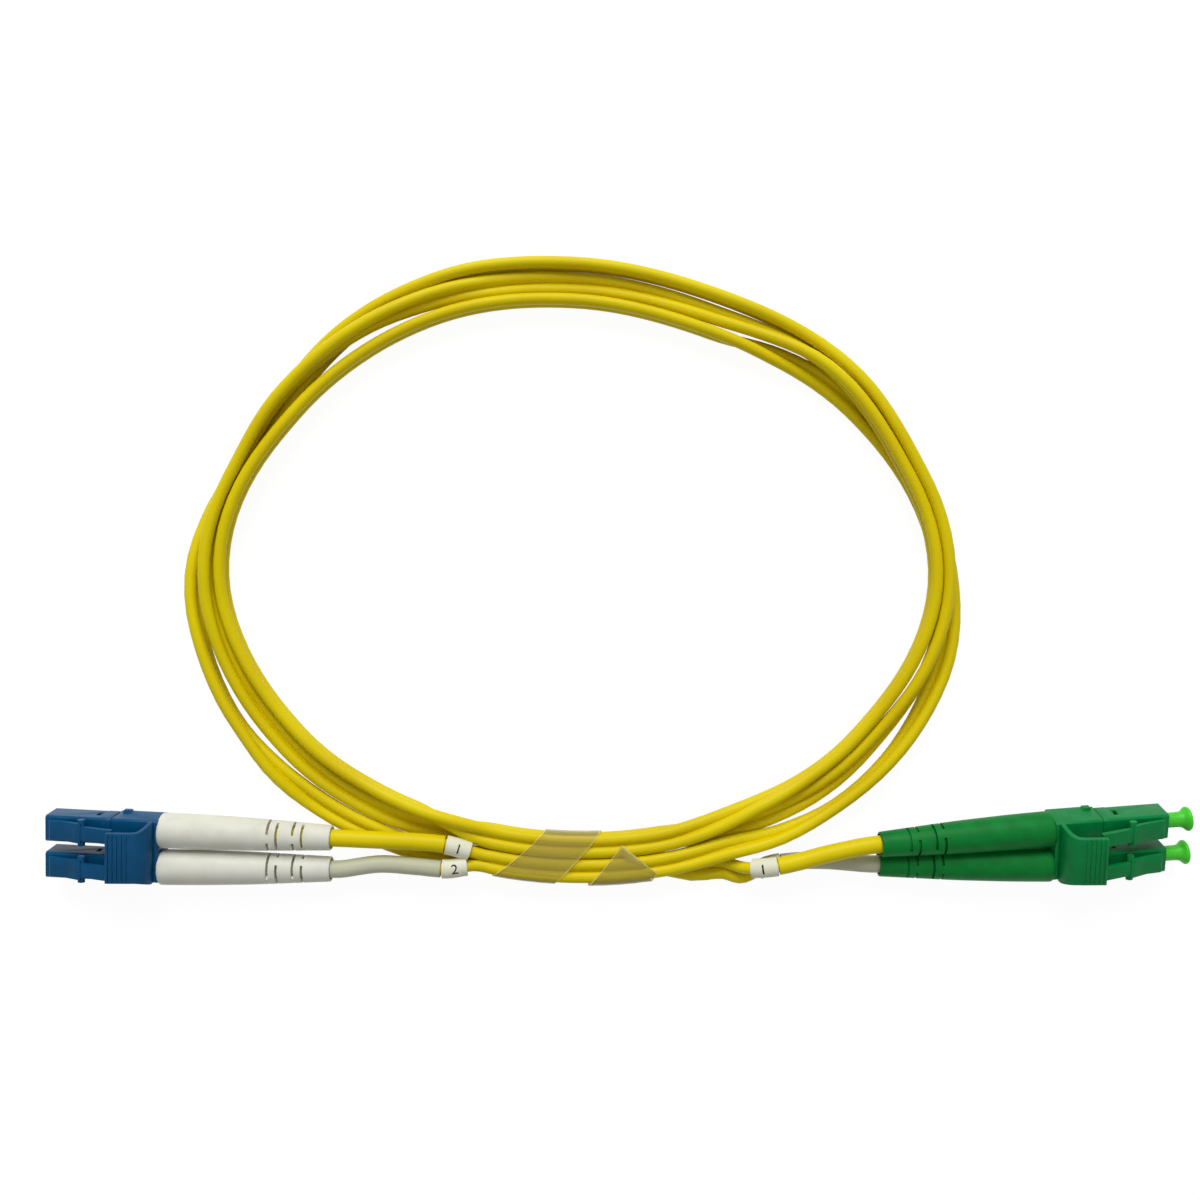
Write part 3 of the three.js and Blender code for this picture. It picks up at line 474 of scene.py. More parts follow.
# %% Sizes of the twin cord, and its route
FIBRE_DIAMETER = 2.0
FIBRE_RADIUS = FIBRE_DIAMETER / 2
HALF_WEB = 1.02
TURN_PITCH = 2.06  # the real turns all but touch
RING_CENTRE = np.array([-4.25, 4.59, 0.0])
RING_INNER_RADII = [43.9, 46.8, 54.0, 59.5, 53.3, 45.8, 45.0, 48.4, 53.2, 58.5, 52.9, 45.9]
WRAP_HOLD, WRAP_FADE, WRAP_LIFT = (-18, 18), 14, 0.65
COIL_ROUTE = [
    (-17, 3, 1, 0), (18, 3, 1, 0), (28, 2.95, 1.05, 15), (41, 3.6, 0.4, 60),
    (51, 3.8, 0, 90), (60, 3.8, 0, 80), (75, 3.15, 0, 45), (90, 1.7, 0, 5),
    (98, 1.25, 0, 0), (120, 0.95, 0, 0), (135, 0.7, 0, -35), (150, 0.5, 0, -90),
    (210, 0.5, 0, -90), (225, 0.5, 0.1, -90), (240, 0.5, 0.55, -90), (255, 0.5, 1, -90),
    (270, 0.5, 0.55, -90), (285, 0.5, 0, -90), (312, 0.5, 0, -90), (325, 0.5, 0.75, -90),
    (334, 0.7, 1, -50), (343, 1, 1, 0),
    (378, 1, 1, 0), (388, 0.8, 1, 25), (400, 0.5, 0.6, 70), (413, 0.5, 0, 90),
    (421, 0.5, 0, 90), (435, 0.5, 0.6, 90), (450, 0.5, 1, 90), (465, 0.6, 1, 90),
    (480, 1.4, 1, 90), (490, 1.9, 0.8, 100), (502, 2.05, 0.15, 130), (512, 2, 0, 145),
    (540, 2, 0, 180), (555, 1.95, 0.1, 195), (570, 2, 0.5, 230), (582, 2.1, 1, 255),
    (600, 2.2, 1.05, 270), (615, 1.6, 1.05, 270), (630, 1.6, 0.95, 265), (645, 1.75, 0.15, 235),
    (660, 1.9, 0, 195), (680, 2, 0, 180), (690, 1.8, 0, 180), (703, 1, 0, 180),
    (737, 1, 0, 180), (749, 1.5, 0, 178), (759, 1.8, 0, 165), (769, 1.9, 0, 150),
    (780, 1.8, 0, 130), (795, 1.7, 0.8, 105), (810, 1.5, 1.02, 90), (825, 1.6, 1.02, 90),
    (840, 2.6, 0.6, 90), (852, 3.2, 0, 90), (870, 3.5, 0, 90), (900, 3.5, 0, 90),
    (918, 3.5, 0, 85), (930, 3.25, 0, 75), (945, 2.75, 0, 35), (960, 2, 0, 0),
    (972, 1.5, 0, 0), (982, 2.05, 0, 12), (992, 2.9, 0, 60), (1002, 3.4, 0, 88),
    (1012, 3.85, 0, 90), (1022, 4, 0, 45), (1030, 4, 0, 0), (1043, 3.97, 0, 0),
    (1052, 3.75, 0, 0), (1063, 3, 0, 0), (1096, 3, 0, 0), (1106, 4.35, 0, 0),
]


def inner_edge(angle):
    """The coil's inner edge at an angle, on a smooth closed curve through its radii."""
    count = len(RING_INNER_RADII)
    place = (angle % 360) / 360 * count
    i, t = int(place) % count, place - int(place)
    a, b, c, d = (RING_INNER_RADII[(i + k) % count] for k in (-1, 0, 1, 2))
    radius = 0.5 * (
        2 * b + (c - a) * t + (2 * a - 5 * b + 4 * c - d) * t**2
        + (3 * b - a - 3 * c + d) * t**3
    )
    turn = math.radians(angle)
    return RING_CENTRE + radius * np.array([math.sin(turn), -math.cos(turn), 0])


def outwards(angle):
    """The direction out of the coil, square to its inner edge."""
    along = inner_edge(angle + 0.5) - inner_edge(angle - 0.5)
    return np.array([along[1], -along[0], 0]) / np.linalg.norm(along)


def steady_slopes(column):
    """Slopes that carry a column of the route through its rows without overshoot."""
    rows = COIL_ROUTE
    steps = [
        (b[column] - a[column]) / (b[0] - a[0]) for a, b in zip(rows, rows[1:])
    ]
    slopes = [0.0]
    for before, after in zip(steps, steps[1:]):
        turns_back = before * after <= 0
        slopes.append(0.0 if turns_back else 2 * before * after / (before + after))
    return slopes + [0.0]


ROUTE_SLOPES = {column: steady_slopes(column) for column in (1, 2, 3)}


def route_at(angle, column):
    """The route's value at an angle, on a cubic between its rows."""
    rows, slopes = COIL_ROUTE, ROUTE_SLOPES[column]
    i = max(k for k in range(len(rows) - 1) if angle >= rows[k][0] or k == 0)
    width = rows[i + 1][0] - rows[i][0]
    t = min(max((angle - rows[i][0]) / width, 0), 1)
    return (
        rows[i][column] * (1 + 2 * t) * (1 - t) ** 2
        + slopes[i] * width * t * (1 - t) ** 2
        + rows[i + 1][column] * t * t * (3 - 2 * t)
        + slopes[i + 1] * width * t * t * (t - 1)
    )


def wrap_lift(angle):
    """How far the wrap's lower side holds the cord off the table."""
    place = (angle + 180) % 360 - 180
    beyond = max(WRAP_HOLD[0] - place, place - WRAP_HOLD[1], 0) / WRAP_FADE
    share = min(beyond, 1)
    return WRAP_LIFT * (1 - share * share * (3 - 2 * share))


def cord_at(angle):
    """Centre of the twin cord, and the direction from its first fibre to its second."""
    roll = math.radians(route_at(angle, 3))
    out = outwards(angle)
    centre = inner_edge(angle) + out * route_at(angle, 1) * TURN_PITCH
    centre[2] = (
        FIBRE_RADIUS + HALF_WEB * abs(math.sin(roll))
        + route_at(angle, 2) * TURN_PITCH + wrap_lift(angle)
    )
    across = out * math.cos(roll) + np.array([0, 0, math.sin(roll)])
    return centre, across


STATION_STEP = 2.5
coil_angles = np.arange(COIL_ROUTE[0][0], COIL_ROUTE[-1][0] + 0.1, STATION_STEP)
coil_angles[-1] = COIL_ROUTE[-1][0]
coil_stations = [cord_at(a) for a in coil_angles]
coil_centres = np.array([centre for centre, _ in coil_stations])

# %% [markdown]
# ## Sweeping a cord
#
# A cord is one outline carried along its route. The outline of the twin cord is
# a figure of eight, because the two jackets are extruded together with a thin
# web between them. Each ring of points gets a UV pair: the way along, and the
# way round, so that the jacket's die lines follow the cord through every twist.

# %% Sweep helper


def sweep(name, centres, sides, outline, rounds, bore=None):
    """A tube through centres. sides is the direction of the outline's first axis."""
    centres = np.asarray(centres, float)
    ahead = np.gradient(centres, axis=0)
    ahead /= np.linalg.norm(ahead, axis=1)[:, None]
    side = np.asarray(sides, float)
    side = side - (side * ahead).sum(1)[:, None] * ahead
    side /= np.linalg.norm(side, axis=1)[:, None]
    up = np.cross(ahead, side)
    loop = np.asarray(outline, float)
    if bore is not None:
        loop = np.vstack([loop, np.asarray(bore, float)[::-1]])
    count, outer = len(loop), len(outline)
    points = centres[:, None] + side[:, None] * loop[None, :, :1] + up[:, None] * loop[None, :, 1:]
    walk = distances(centres)
    faces, corners = [], []
    rings = [(0, outer)] + ([(outer, count - outer)] if bore is not None else [])
    for first, size in rings:
        for i in range(len(centres) - 1):
            for k in range(size):
                a, b = i * count + first + k, i * count + first + (k + 1) % size
                faces.append((a, b, b + count, a + count))
                u0, u1 = walk[i], walk[i + 1]
                v0, v1 = rounds * k / size, rounds * (k + 1) / size
                corners += [(u0, v0), (u0, v1), (u1, v1), (u1, v0)]
    last = (len(centres) - 1) * count
    if bore is None:
        faces.append(tuple(range(outer))[::-1])
        faces.append(tuple(last + k for k in range(outer)))
        corners += [(0, 0)] * (2 * outer)
    if bore is not None:
        for k in range(outer):
            a, b = k, (k + 1) % outer
            c, d = count - 1 - k, count - 1 - (k + 1) % outer
            faces.append((b, a, c, d))
            faces.append((last + a, last + b, last + d, last + c))
            corners += [(0, 0)] * 8
    made = raw_object(name, points.reshape(-1, 3), faces)
    layer = made.data.uv_layers.new(name="along")
    layer.data.foreach_set("uv", np.array(corners, np.float32).ravel())
    return made


def circle(radius, sides):
    """A round outline."""
    turns = [2 * math.pi * k / sides for k in range(sides)]
    return [(radius * math.cos(t), radius * math.sin(t)) for t in turns]


WEB_HALF_THICKNESS = 0.26
LEG_POINTS = 22


def twin_outline():
    """Two jackets side by side and the thin web that joins them."""
    bite = math.asin(WEB_HALF_THICKNESS / FIBRE_RADIUS)
    turns = np.linspace(-math.pi + bite, math.pi - bite, LEG_POINTS)
    right = [
        (HALF_WEB + FIBRE_RADIUS * math.cos(t), FIBRE_RADIUS * math.sin(t)) for t in turns
    ]
    return right + [(-x, -y) for x, y in right]


# %% The coil
coil = sweep(
    "twin_cord_coil", coil_centres, [across for _, across in coil_stations],
    twin_outline(), rounds=2,
)
dress(coil, YELLOW_PVC, "yellow_jacket", "coiled_cord")
print("coil faces:", len(coil.data.polygons))

# %% [markdown]
# ## Where the plugs lie
#
# Each end of the cord has its own place, turn and roll on the table, as in the
# CAD source. A matrix for each end carries a point from a plug's own axes, with
# x = 0 on its front face and +z towards the latch, to the layout.

# %% Plug sizes and the matrices of both ends
SEAT_GAP = 0.3
PLUG_PITCH, PLUG_WIDTH, PLUG_LENGTH, PLUG_CHAMFER = 6.25, 4.5, 10.5, 0.3
HALF = PLUG_WIDTH / 2
CLIP_LENGTH, CLIP_FLOOR = 7.2, 0.7
CLIP_START = PLUG_LENGTH + SEAT_GAP
CLIP_END = CLIP_START + CLIP_LENGTH
CLIP_HALF_WIDTH = PLUG_PITCH / 2 + HALF
CLIP_BOTTOM = -HALF - CLIP_FLOOR
STUB_END = CLIP_END + 5.7
CRIMP_START, CRIMP_END = CLIP_END + 0.4, STUB_END + 3.0
BOOT_START = CLIP_END + 1.5 * SEAT_GAP
BOOT_LENGTH = 28.8
BOOT_END = BOOT_START + BOOT_LENGTH
BOOT_PIVOT = (CRIMP_START + CRIMP_END) / 2
CRIMP_DIAMETER = 3.9
BOOT_CAVITY = CRIMP_DIAMETER + 0.9
BOOT_CAVITY_END = CRIMP_END + 2 * SEAT_GAP
SLEEVE_DIAMETER, SLEEVE_BORE = 2.9, 2.5
BOOT_BORE = 3.5
LEG_START, SLEEVE_START = STUB_END + SEAT_GAP, CRIMP_END + SEAT_GAP
PLUG_SPAN, PLUG_SPAN_MIDDLE = 186.0, 0.85
ENDS = {
    "blue": {
        "front": (PLUG_SPAN_MIDDLE - PLUG_SPAN / 2, -40.7), "turn": -3, "roll": 7,
        "toe_in": {1: -1, 2: 2.6}, "lift": {1: 1.6, 2: 0.6}, "mirror": 1,
    },
    "green": {
        "front": (PLUG_SPAN_MIDDLE + PLUG_SPAN / 2, -39.7), "turn": 184.3, "roll": -18,
        "toe_in": {1: 0.3, 2: 3.4}, "lift": {1: 1.4, 2: -2.5}, "mirror": -1,
    },
}


def clip_outline(inset=0.0):
    """Cross-section of the duplex clip, with cut corners."""
    side, top, low, c = CLIP_HALF_WIDTH - inset, HALF - inset, CLIP_BOTTOM + inset, PLUG_CHAMFER
    return [
        (-side + c, low), (side - c, low), (side, low + c), (side, top - c),
        (side - c, top), (-side + c, top), (-side, top - c), (-side, low + c),
    ]


def turn_about(axis, degrees):
    return Matrix.Rotation(math.radians(degrees), 4, axis)


def side_of(end, line):
    return (1 if line == 1 else -1) * ENDS[end]["mirror"]


def end_matrix(end):
    """From a pair's own axes to the layout: laid on the table, rolled and turned."""
    place = ENDS[end]
    roll = math.radians(place["roll"])
    lift = -min(y * math.sin(roll) + z * math.cos(roll) for y, z in clip_outline())
    there = Matrix.Translation((*place["front"], lift))
    return there @ turn_about("Z", place["turn"]) @ turn_about("X", place["roll"])


def plug_matrix(end, line):
    shift = Matrix.Translation((0, side_of(end, line) * PLUG_PITCH / 2, 0))
    return end_matrix(end) @ shift


def boot_matrix(end, line):
    """A boot leans a little about the middle of its crimp ring."""
    to_pivot = Matrix.Translation((BOOT_PIVOT, 0, 0))
    toe = turn_about("Z", -side_of(end, line) * ENDS[end]["toe_in"][line])
    lift = turn_about("Y", -ENDS[end]["lift"][line])
    return plug_matrix(end, line) @ to_pivot @ lift @ toe @ to_pivot.inverted()


for end in ENDS:
    print(end, "front at", [round(v, 1) for v in end_matrix(end).translation])

# %% [markdown]
# ## The single fibres, their sleeves and label rings
#
# Between a boot and the coil the two fibres run apart. Each passes through a
# thicker sleeve, yellow on one line and white on the other, and through a short
# printed ring that tells the lines apart. The fibres are real cords too: each
# starts inside its boot at the crimp and ends where the twin jacket begins.

# %% Paths of the single fibres
BLUE_PATH = {
    1: [(-37, -40.1, 4.6), (-31, -40.4, 4.5), (-25.6, -40.95, 4.45)],
    2: [(-37, -44.3, 3.8), (-31, -44.6, 4.1), (-25.6, -45.0, 4.3)],
}
GREEN_PATH = {
    1: [(38, -42.2, 5.7), (32.5, -43.7, 5.5), (28.5, -44.5, 5.4), (24.5, -45.0, 3.6)],
    2: [(38, -44.1, 1.95), (32.5, -44.3, 1.68), (28.5, -45.0, 1.65), (24, -47.2, 1.1)],
}
PATHS = {"blue": BLUE_PATH, "green": GREEN_PATH}
RING_PLACE = {"blue": 7.0, "green": 11.8}
RING_LENGTH, RING_DIAMETER, RING_BORE = 4.1, 3.2, 2.7
SLEEVE_END_GAP = 0.25
JOIN_OVERLAP = 1.2  # a single fibre starts inside its leg of the twin cord
SINGLE_RADIUS = FIBRE_RADIUS - 0.008  # so it hides there


def blend(a, b, time_a, time_b, time):
    """The point at a time on the straight line through a and b."""
    width = time_b - time_a
    return (time_b - time) / width * a + (time - time_a) / width * b


def smooth_curve(knots, step):
    """Evenly spaced points on a centripetal Catmull-Rom curve through knots."""
    knots = [np.array(k, float) for k in knots]
    knots = [2 * knots[0] - knots[1], *knots, 2 * knots[-1] - knots[-2]]
    fine = []
    for p0, p1, p2, p3 in zip(knots, knots[1:], knots[2:], knots[3:]):
        t0 = 0.0
        t1 = t0 + math.sqrt(np.linalg.norm(p1 - p0))
        t2 = t1 + math.sqrt(np.linalg.norm(p2 - p1))
        t3 = t2 + math.sqrt(np.linalg.norm(p3 - p2))
        for t in np.linspace(t1, t2, 24, endpoint=False):
            a1, a2, a3 = blend(p0, p1, t0, t1, t), blend(p1, p2, t1, t2, t), blend(p2, p3, t2, t3, t)
            b1, b2 = blend(a1, a2, t0, t2, t), blend(a2, a3, t1, t3, t)
            fine.append(blend(b1, b2, t1, t2, t))
    fine.append(knots[-2])
    fine = np.array(fine)
    walk = distances(fine)
    marks = np.linspace(0, walk[-1], max(3, round(walk[-1] / step)))
    return np.stack([np.interp(marks, walk, fine[:, k]) for k in range(3)], axis=1)


def stretch(points, start, stop):
    """The part of a row of points between two distances along it."""
    walk = distances(points)
    inside = [d for d in walk if start < d < stop]
    marks = [start, *inside, stop]
    return np.stack([np.interp(marks, walk, points[:, k]) for k in range(3)], axis=1)


def level_sides(points):
    """A sideways direction for each point of a path that runs roughly level."""
    ahead = np.gradient(points, axis=0)
    return np.cross(ahead, [0, 0, 1.0])


def fibre_centres(end, line):
    """From the crimp, through the boot, and on into the twin jacket."""
    matrix = boot_matrix(end, line)
    marks = (
        LEG_START, BOOT_CAVITY_END, (BOOT_CAVITY_END + BOOT_END) / 2,
        BOOT_END - 1, BOOT_END + 1.5,
    )
    in_boot = [tuple(matrix @ Vector((x, 0, 0))) for x in marks]
    first = end == "blue"
    i = 0 if first else len(coil_centres) - 1
    centre, across = coil_stations[i]
    near = coil_centres[1] if first else coil_centres[-2]
    away = (centre - near) / np.linalg.norm(centre - near)
    joined = centre + across * (-HALF_WEB if line == 1 else HALF_WEB)
    at_cord = [joined + away * d for d in (FIBRE_DIAMETER + SEAT_GAP, -JOIN_OVERLAP)]
    return smooth_curve([*in_boot, *PATHS[end][line], *at_cord], 0.9)


# %% Fibres, sleeves and rings
rings = {}
for end in ENDS:
    for line in (1, 2):
        centres = fibre_centres(end, line)
        length = distances(centres)[-1]
        fibre = sweep(
            f"{end}_single_fibre_{line}", centres, level_sides(centres),
            circle(SINGLE_RADIUS, 28), rounds=1,
        )
        ring_from = length - RING_PLACE[end] - RING_LENGTH / 2
        sleeve_path = stretch(centres, SLEEVE_START - LEG_START, ring_from - SLEEVE_END_GAP)
        sleeve = sweep(
            f"{end}_sleeving_{line}", sleeve_path, level_sides(sleeve_path),
            circle(SLEEVE_DIAMETER / 2, 32), 1, circle(SLEEVE_BORE / 2, 32),
        )
        ring_path = stretch(centres, ring_from, ring_from + RING_LENGTH)
        ring = sweep(
            f"{end}_marker_ring_{line}", ring_path, level_sides(ring_path),
            circle(RING_DIAMETER / 2, 36), 1, circle(RING_BORE / 2, 36),
        )
        rings[end, line] = ring_path
        jacketing = (YELLOW_PVC, "yellow_jacket") if line == 1 else (WHITE_PVC, "white_jacket")
        dress(fibre, YELLOW_PVC, "yellow_jacket", f"{end}_fibre_{line}")
        dress(sleeve, *jacketing, f"{end}_sleeve_{line}")
        dress(ring, LABEL_FILM, "label_white", f"{end}_label_ring_{line}")
        print(f"{end} {line}: {length:.1f} mm of single fibre")

# %% [markdown]
# ## Numbers on the label rings
#
# A plain number on each ring tells the two lines apart. It is flat text, turned
# into a mesh and trimmed to a thin shell round a straight ring. Then it is bent
# along the ring's own path, so that the ink follows the surface.

# %% Ring numbers
NUMBER_SIZE, INK_HEIGHT, INK_DEPTH = 2.3, 0.05, 0.12
UP = np.array([0, 0, 1.0])


def ring_number(line):
    """The line's number as a thin curved print, on a ring that lies along X."""
    words = bpy.data.curves.new("number", "FONT")
    words.body, words.size = str(line), NUMBER_SIZE
    words.align_x, words.align_y = "CENTER", "CENTER"
    words.extrude = RING_DIAMETER / 4
    flat = bpy.data.objects.new("number", words)
    bpy.context.scene.collection.objects.link(flat)
    bpy.context.view_layer.update()
    graph = bpy.context.evaluated_depsgraph_get()
    mesh = bpy.data.meshes.new_from_object(flat.evaluated_get(graph))
    bpy.data.objects.remove(flat)
    number = bpy.data.objects.new("number", mesh)
    bpy.context.scene.collection.objects.link(number)
    number.data.transform(Matrix.Translation((0, 0, RING_DIAMETER / 2)))
    face_outwards(number)
    outer, inner = RING_DIAMETER / 2 + INK_HEIGHT, RING_DIAMETER / 2 - INK_DEPTH
    shell = turned("shell", [(-2, inner), (-2, outer), (2, outer), (2, inner)], 48)
    return combine(number, [shell], "INTERSECT")


def bend_along(piece, path):
    """Bends a piece that lies along X, so that it follows a path from left to right."""
    if path[0][0] > path[-1][0]:
        path = path[::-1]
    places = distances(path)
    places = places - places[-1] / 2
    heading = np.gradient(path, axis=0)
    for vertex in piece.data.vertices:
        x, y, z = vertex.co
        centre, along = (
            np.array([np.interp(x, places, values[:, k]) for k in range(3)])
            for values in (path, heading)
        )
        along /= np.linalg.norm(along)
        side = np.cross(UP, along)
        side /= np.linalg.norm(side)
        vertex.co = centre + side * y + np.cross(along, side) * z


for (end, line), ring_path in rings.items():
    number = ring_number(line)
    number.name = number.data.name = f"{end}_ring_number_{line}"
    bend_along(number, ring_path)
    dress(number, PRINT_INK, "label_white", None)
print("ring numbers:", len(rings))

# %% [markdown]
# ## The spiral wrap
#
# A strip of milky film goes round the whole bundle one and a half times, from
# under its outer side. Its free end is cut on a slant and lies on top. In cross
# section the strip follows a superellipse. It walks along the bundle only while
# it crosses its top or underside, which gives the straight slanted edges. Its
# rims are marked in an attribute, which gives them more cover and a painted
# highlight: a lighter colour that stands in for the light they catch.

# %% Spiral wrap
WRAP_WIDTH, WRAP_PITCH, WRAP_START = 10.2, 15.9, -16.1
WRAP_FIRST_TURN = -40
WRAP_END_ACROSS = (0.76, 0.15)  # where the cut end's corners lie, from the outer side
WRAP_SQUARENESS, WRAP_FILM = 4, 0.16
WRAP_STEPS = 150
WRAP_SHARES = [0, 0.009, 0.014, 0.25, 0.5, 0.75, 0.986, 0.991, 1]
WRAP_SLACK = 0.15


def across_progress(turn):
    """Half turns that the strip has made, counted by how far across it has come."""
    c = math.cos(math.radians(turn))
    power = 2 / WRAP_SQUARENESS
    half_turns = math.floor(turn / 180)
    sense = 1 if half_turns % 2 == 0 else -1
    return half_turns + (1 - sense * math.copysign(abs(c) ** power, c)) / 2


def turn_at(share, step):
    """The strip's turn in degrees. Its end lies where the cut is a straight line."""
    first, second = WRAP_END_ACROSS
    across = 1 - 2 * (first + (second - first) * share)
    c = math.copysign(abs(across) ** (WRAP_SQUARENESS / 2), across)
    last = 360 + math.degrees(math.acos(c))
    return WRAP_FIRST_TURN + (last - WRAP_FIRST_TURN) * step


def wrap_point(share, step, proud):
    """A point of the strip: share goes across it, and step along it from 0 to 1."""
    turn = turn_at(share, step)
    pace = RING_INNER_RADII[0] + 2 * TURN_PITCH
    walked = WRAP_PITCH * across_progress(turn) / 2 + WRAP_WIDTH * share
    angle = WRAP_START + math.degrees(walked / pace)
    c, s = math.cos(math.radians(turn)), math.sin(math.radians(turn))
    power = 2 / WRAP_SQUARENESS
    half_across = TURN_PITCH + HALF_WEB + FIBRE_RADIUS + WRAP_SLACK + proud
    half_tall = (FIBRE_DIAMETER + TURN_PITCH) / 2 + WRAP_SLACK + proud
    across = math.copysign(abs(c) ** power, c) * half_across
    height = math.copysign(abs(s) ** power, s) * half_tall
    # the outer turn of the strip lies on the inner one
    layer = WRAP_FILM * 1.3 * min(max((turn - 300) / 60, 0), 1)
    across += math.copysign(layer, c) * abs(c)
    height += math.copysign(layer, s) * abs(s)
    point = inner_edge(angle) + outwards(angle) * (2 * TURN_PITCH + across)
    point[2] = WRAP_LIFT + (2 * FIBRE_DIAMETER + 0.06) / 2 + height
    return point


def wrap_rings():
    """Cross-sections of the strip, each with its lower and its upper side."""
    made = []
    for i in range(WRAP_STEPS + 1):
        step = i / WRAP_STEPS
        low = [wrap_point(share, step, 0) for share in WRAP_SHARES]
        high = [wrap_point(share, step, WRAP_FILM) for share in WRAP_SHARES]
        made.append(low + high[::-1])
    return made


FOLD_MILK = 0.75  # how much of a rim's milk shows where the strip folds down the sides


def mark_rims(strip):
    """Marks the long rims and the cut end with 1, and the folds with part of that."""
    marks = []
    for i in range(WRAP_STEPS + 1):
        fold = []
        for share in WRAP_SHARES:
            turn = turn_at(share, i / WRAP_STEPS)
            # a 1 at the rims and the cut end carries the painted highlight, a lighter colour
            at_rim = not 0.01 < share < 0.99 or i == WRAP_STEPS
            fold.append(1.0 if at_rim else FOLD_MILK * abs(math.cos(math.radians(turn))) ** 6)
        marks += fold + fold[::-1]
    layer = strip.data.attributes.new("rim", "FLOAT", "POINT")
    layer.data.foreach_set("value", marks)


wrap = skin("spiral_wrap_strip", wrap_rings())
mark_rims(wrap)
dress(wrap, CLEAR_PP, "clear_wrap", "spiral_wrap", smooth=50)
print("wrap faces:", len(wrap.data.polygons))

# %% [markdown]
# ## Plug housings
#
# A plug is a square bar, 4.5 mm wide, with its corners cut at 45 degrees. A
# socket in its front leaves the ferrule standing free, and a window goes through
# both sides. The window and the bores are cut with Boolean modifiers, and a fine
# bevel then rounds the mouldings' edges, which is where plastic catches light.

# %% Housing
SOCKET_DIAMETER, SOCKET_DEPTH = 3.1, 4.0
SHOULDER_END, SHOULDER_BORE, CHAMBER_DIAMETER = 4.8, 1.85, 3.3
WINDOW_START, WINDOW_LENGTH, WINDOW_HEIGHT = 7.75, 0.7, 1.5
COLLAR_START = 9.0
HOUSING_END = PLUG_LENGTH + SEAT_GAP - 0.04  # the clip closes on it
PAST = 1.0


def cut_square(width, chamfer):
    h, c = width / 2, width / 2 - chamfer
    return [(-c, -h), (c, -h), (h, -c), (h, c), (c, h), (-c, h), (-h, c), (-h, -c)]


def housing():
    """One plug's body: the front is a little slimmer than the collar behind it."""
    slim = cut_square(PLUG_WIDTH - 0.08, PLUG_CHAMFER)
    full = cut_square(PLUG_WIDTH, PLUG_CHAMFER)
    body = bar("housing", [
        (0, slim), (COLLAR_START, slim), (COLLAR_START + 0.15, full), (HOUSING_END, full),
    ])
    rear = PLUG_LENGTH + PAST
    bore = turned("bore", [
        (-PAST, 0.0001), (-PAST, SOCKET_DIAMETER / 2), (SOCKET_DEPTH, SOCKET_DIAMETER / 2),
        (SOCKET_DEPTH, SHOULDER_BORE / 2), (SHOULDER_END, SHOULDER_BORE / 2),
        (SHOULDER_END, CHAMBER_DIAMETER / 2), (rear, CHAMBER_DIAMETER / 2), (rear, 0.0001),
    ], 40)
    window = block(
        "window", (WINDOW_START, -PLUG_WIDTH, -WINDOW_HEIGHT / 2),
        (WINDOW_START + WINDOW_LENGTH, PLUG_WIDTH, WINDOW_HEIGHT / 2),
    )
    combine(body, [bore, window], "DIFFERENCE")
    return round_edges(body, 0.09)


# %% [markdown]
# ## Latch arms
#
# The latch is a sprung arm on top of the plug. It starts at the nose as a wide
# pad, climbs backwards, carries two round pegs that hook into the adapter, and
# ends in a narrow tail that lies under the trigger. Its side view is one outline
# pulled across, and the pegs are a rod through it.

# %% Latch arm
LATCH_ROOT, LATCH_GAP, LATCH_THICKNESS = 0.9, 0.1, 0.8
LATCH_REACH, LATCH_RISE = 11.2, 2.15
LATCH_LOW = HALF + LATCH_GAP
PAD_LENGTH, PAD_WIDTH, TAIL_WIDTH = 5.7, 3.3, 2.4
PEG_START, PEG_LENGTH, PEG_HEIGHT, PEG_SPAN = 5.0, 1.2, 0.95, 4.4
TAIL_TOP = LATCH_LOW + LATCH_RISE + LATCH_THICKNESS


def latch_rise(reach):
    """Height of the arm's underside, at a distance behind its root."""
    return LATCH_LOW + LATCH_RISE * max(0, reach - SEAT_GAP) / (LATCH_REACH - SEAT_GAP)


def latch_arm():
    def at(reach, height):
        return (LATCH_ROOT + reach, height)

    pad = plate("latch", [
        at(0, LATCH_LOW), at(SEAT_GAP, LATCH_LOW), at(PAD_LENGTH, latch_rise(PAD_LENGTH)),
        at(PAD_LENGTH, latch_rise(PAD_LENGTH) + LATCH_THICKNESS),
        at(2.7, LATCH_LOW + 0.9), at(0.15, LATCH_LOW + 0.65), at(0, LATCH_LOW + 0.5),
    ], PAD_WIDTH)
    tail = plate("tail", [
        at(PAD_LENGTH - 1, latch_rise(PAD_LENGTH - 1)), at(LATCH_REACH, latch_rise(LATCH_REACH)),
        at(LATCH_REACH, latch_rise(LATCH_REACH) + LATCH_THICKNESS - 0.05),
        at(PAD_LENGTH + 0.6, latch_rise(PAD_LENGTH + 0.6) + LATCH_THICKNESS - 0.12),
        at(PAD_LENGTH - 1, latch_rise(PAD_LENGTH - 1) + LATCH_THICKNESS - 0.12),
    ], TAIL_WIDTH)
    radius = PEG_LENGTH / 2
    x, z = LATCH_ROOT + PEG_START + radius, latch_rise(PEG_START) + PEG_HEIGHT / 2 - 0.35
    rod = [(x + radius * c, z + PEG_HEIGHT / 2 * s) for c, s in circle(1, 20)]
    peg = plate("peg", rod, PEG_SPAN)
    combine(pad, [tail, peg], "UNION")
    return round_edges(pad, 0.13, segments=3)


# %% [markdown]
# ## Duplex clip
#
# The clip is the block that holds both plugs 6.25 mm apart. Its front band is a
# hair smaller than the rest, which leaves a fine line round it. A groove runs
# between the plugs, a nub sits on each side, and its back wall stands out over
# the boots' ends.

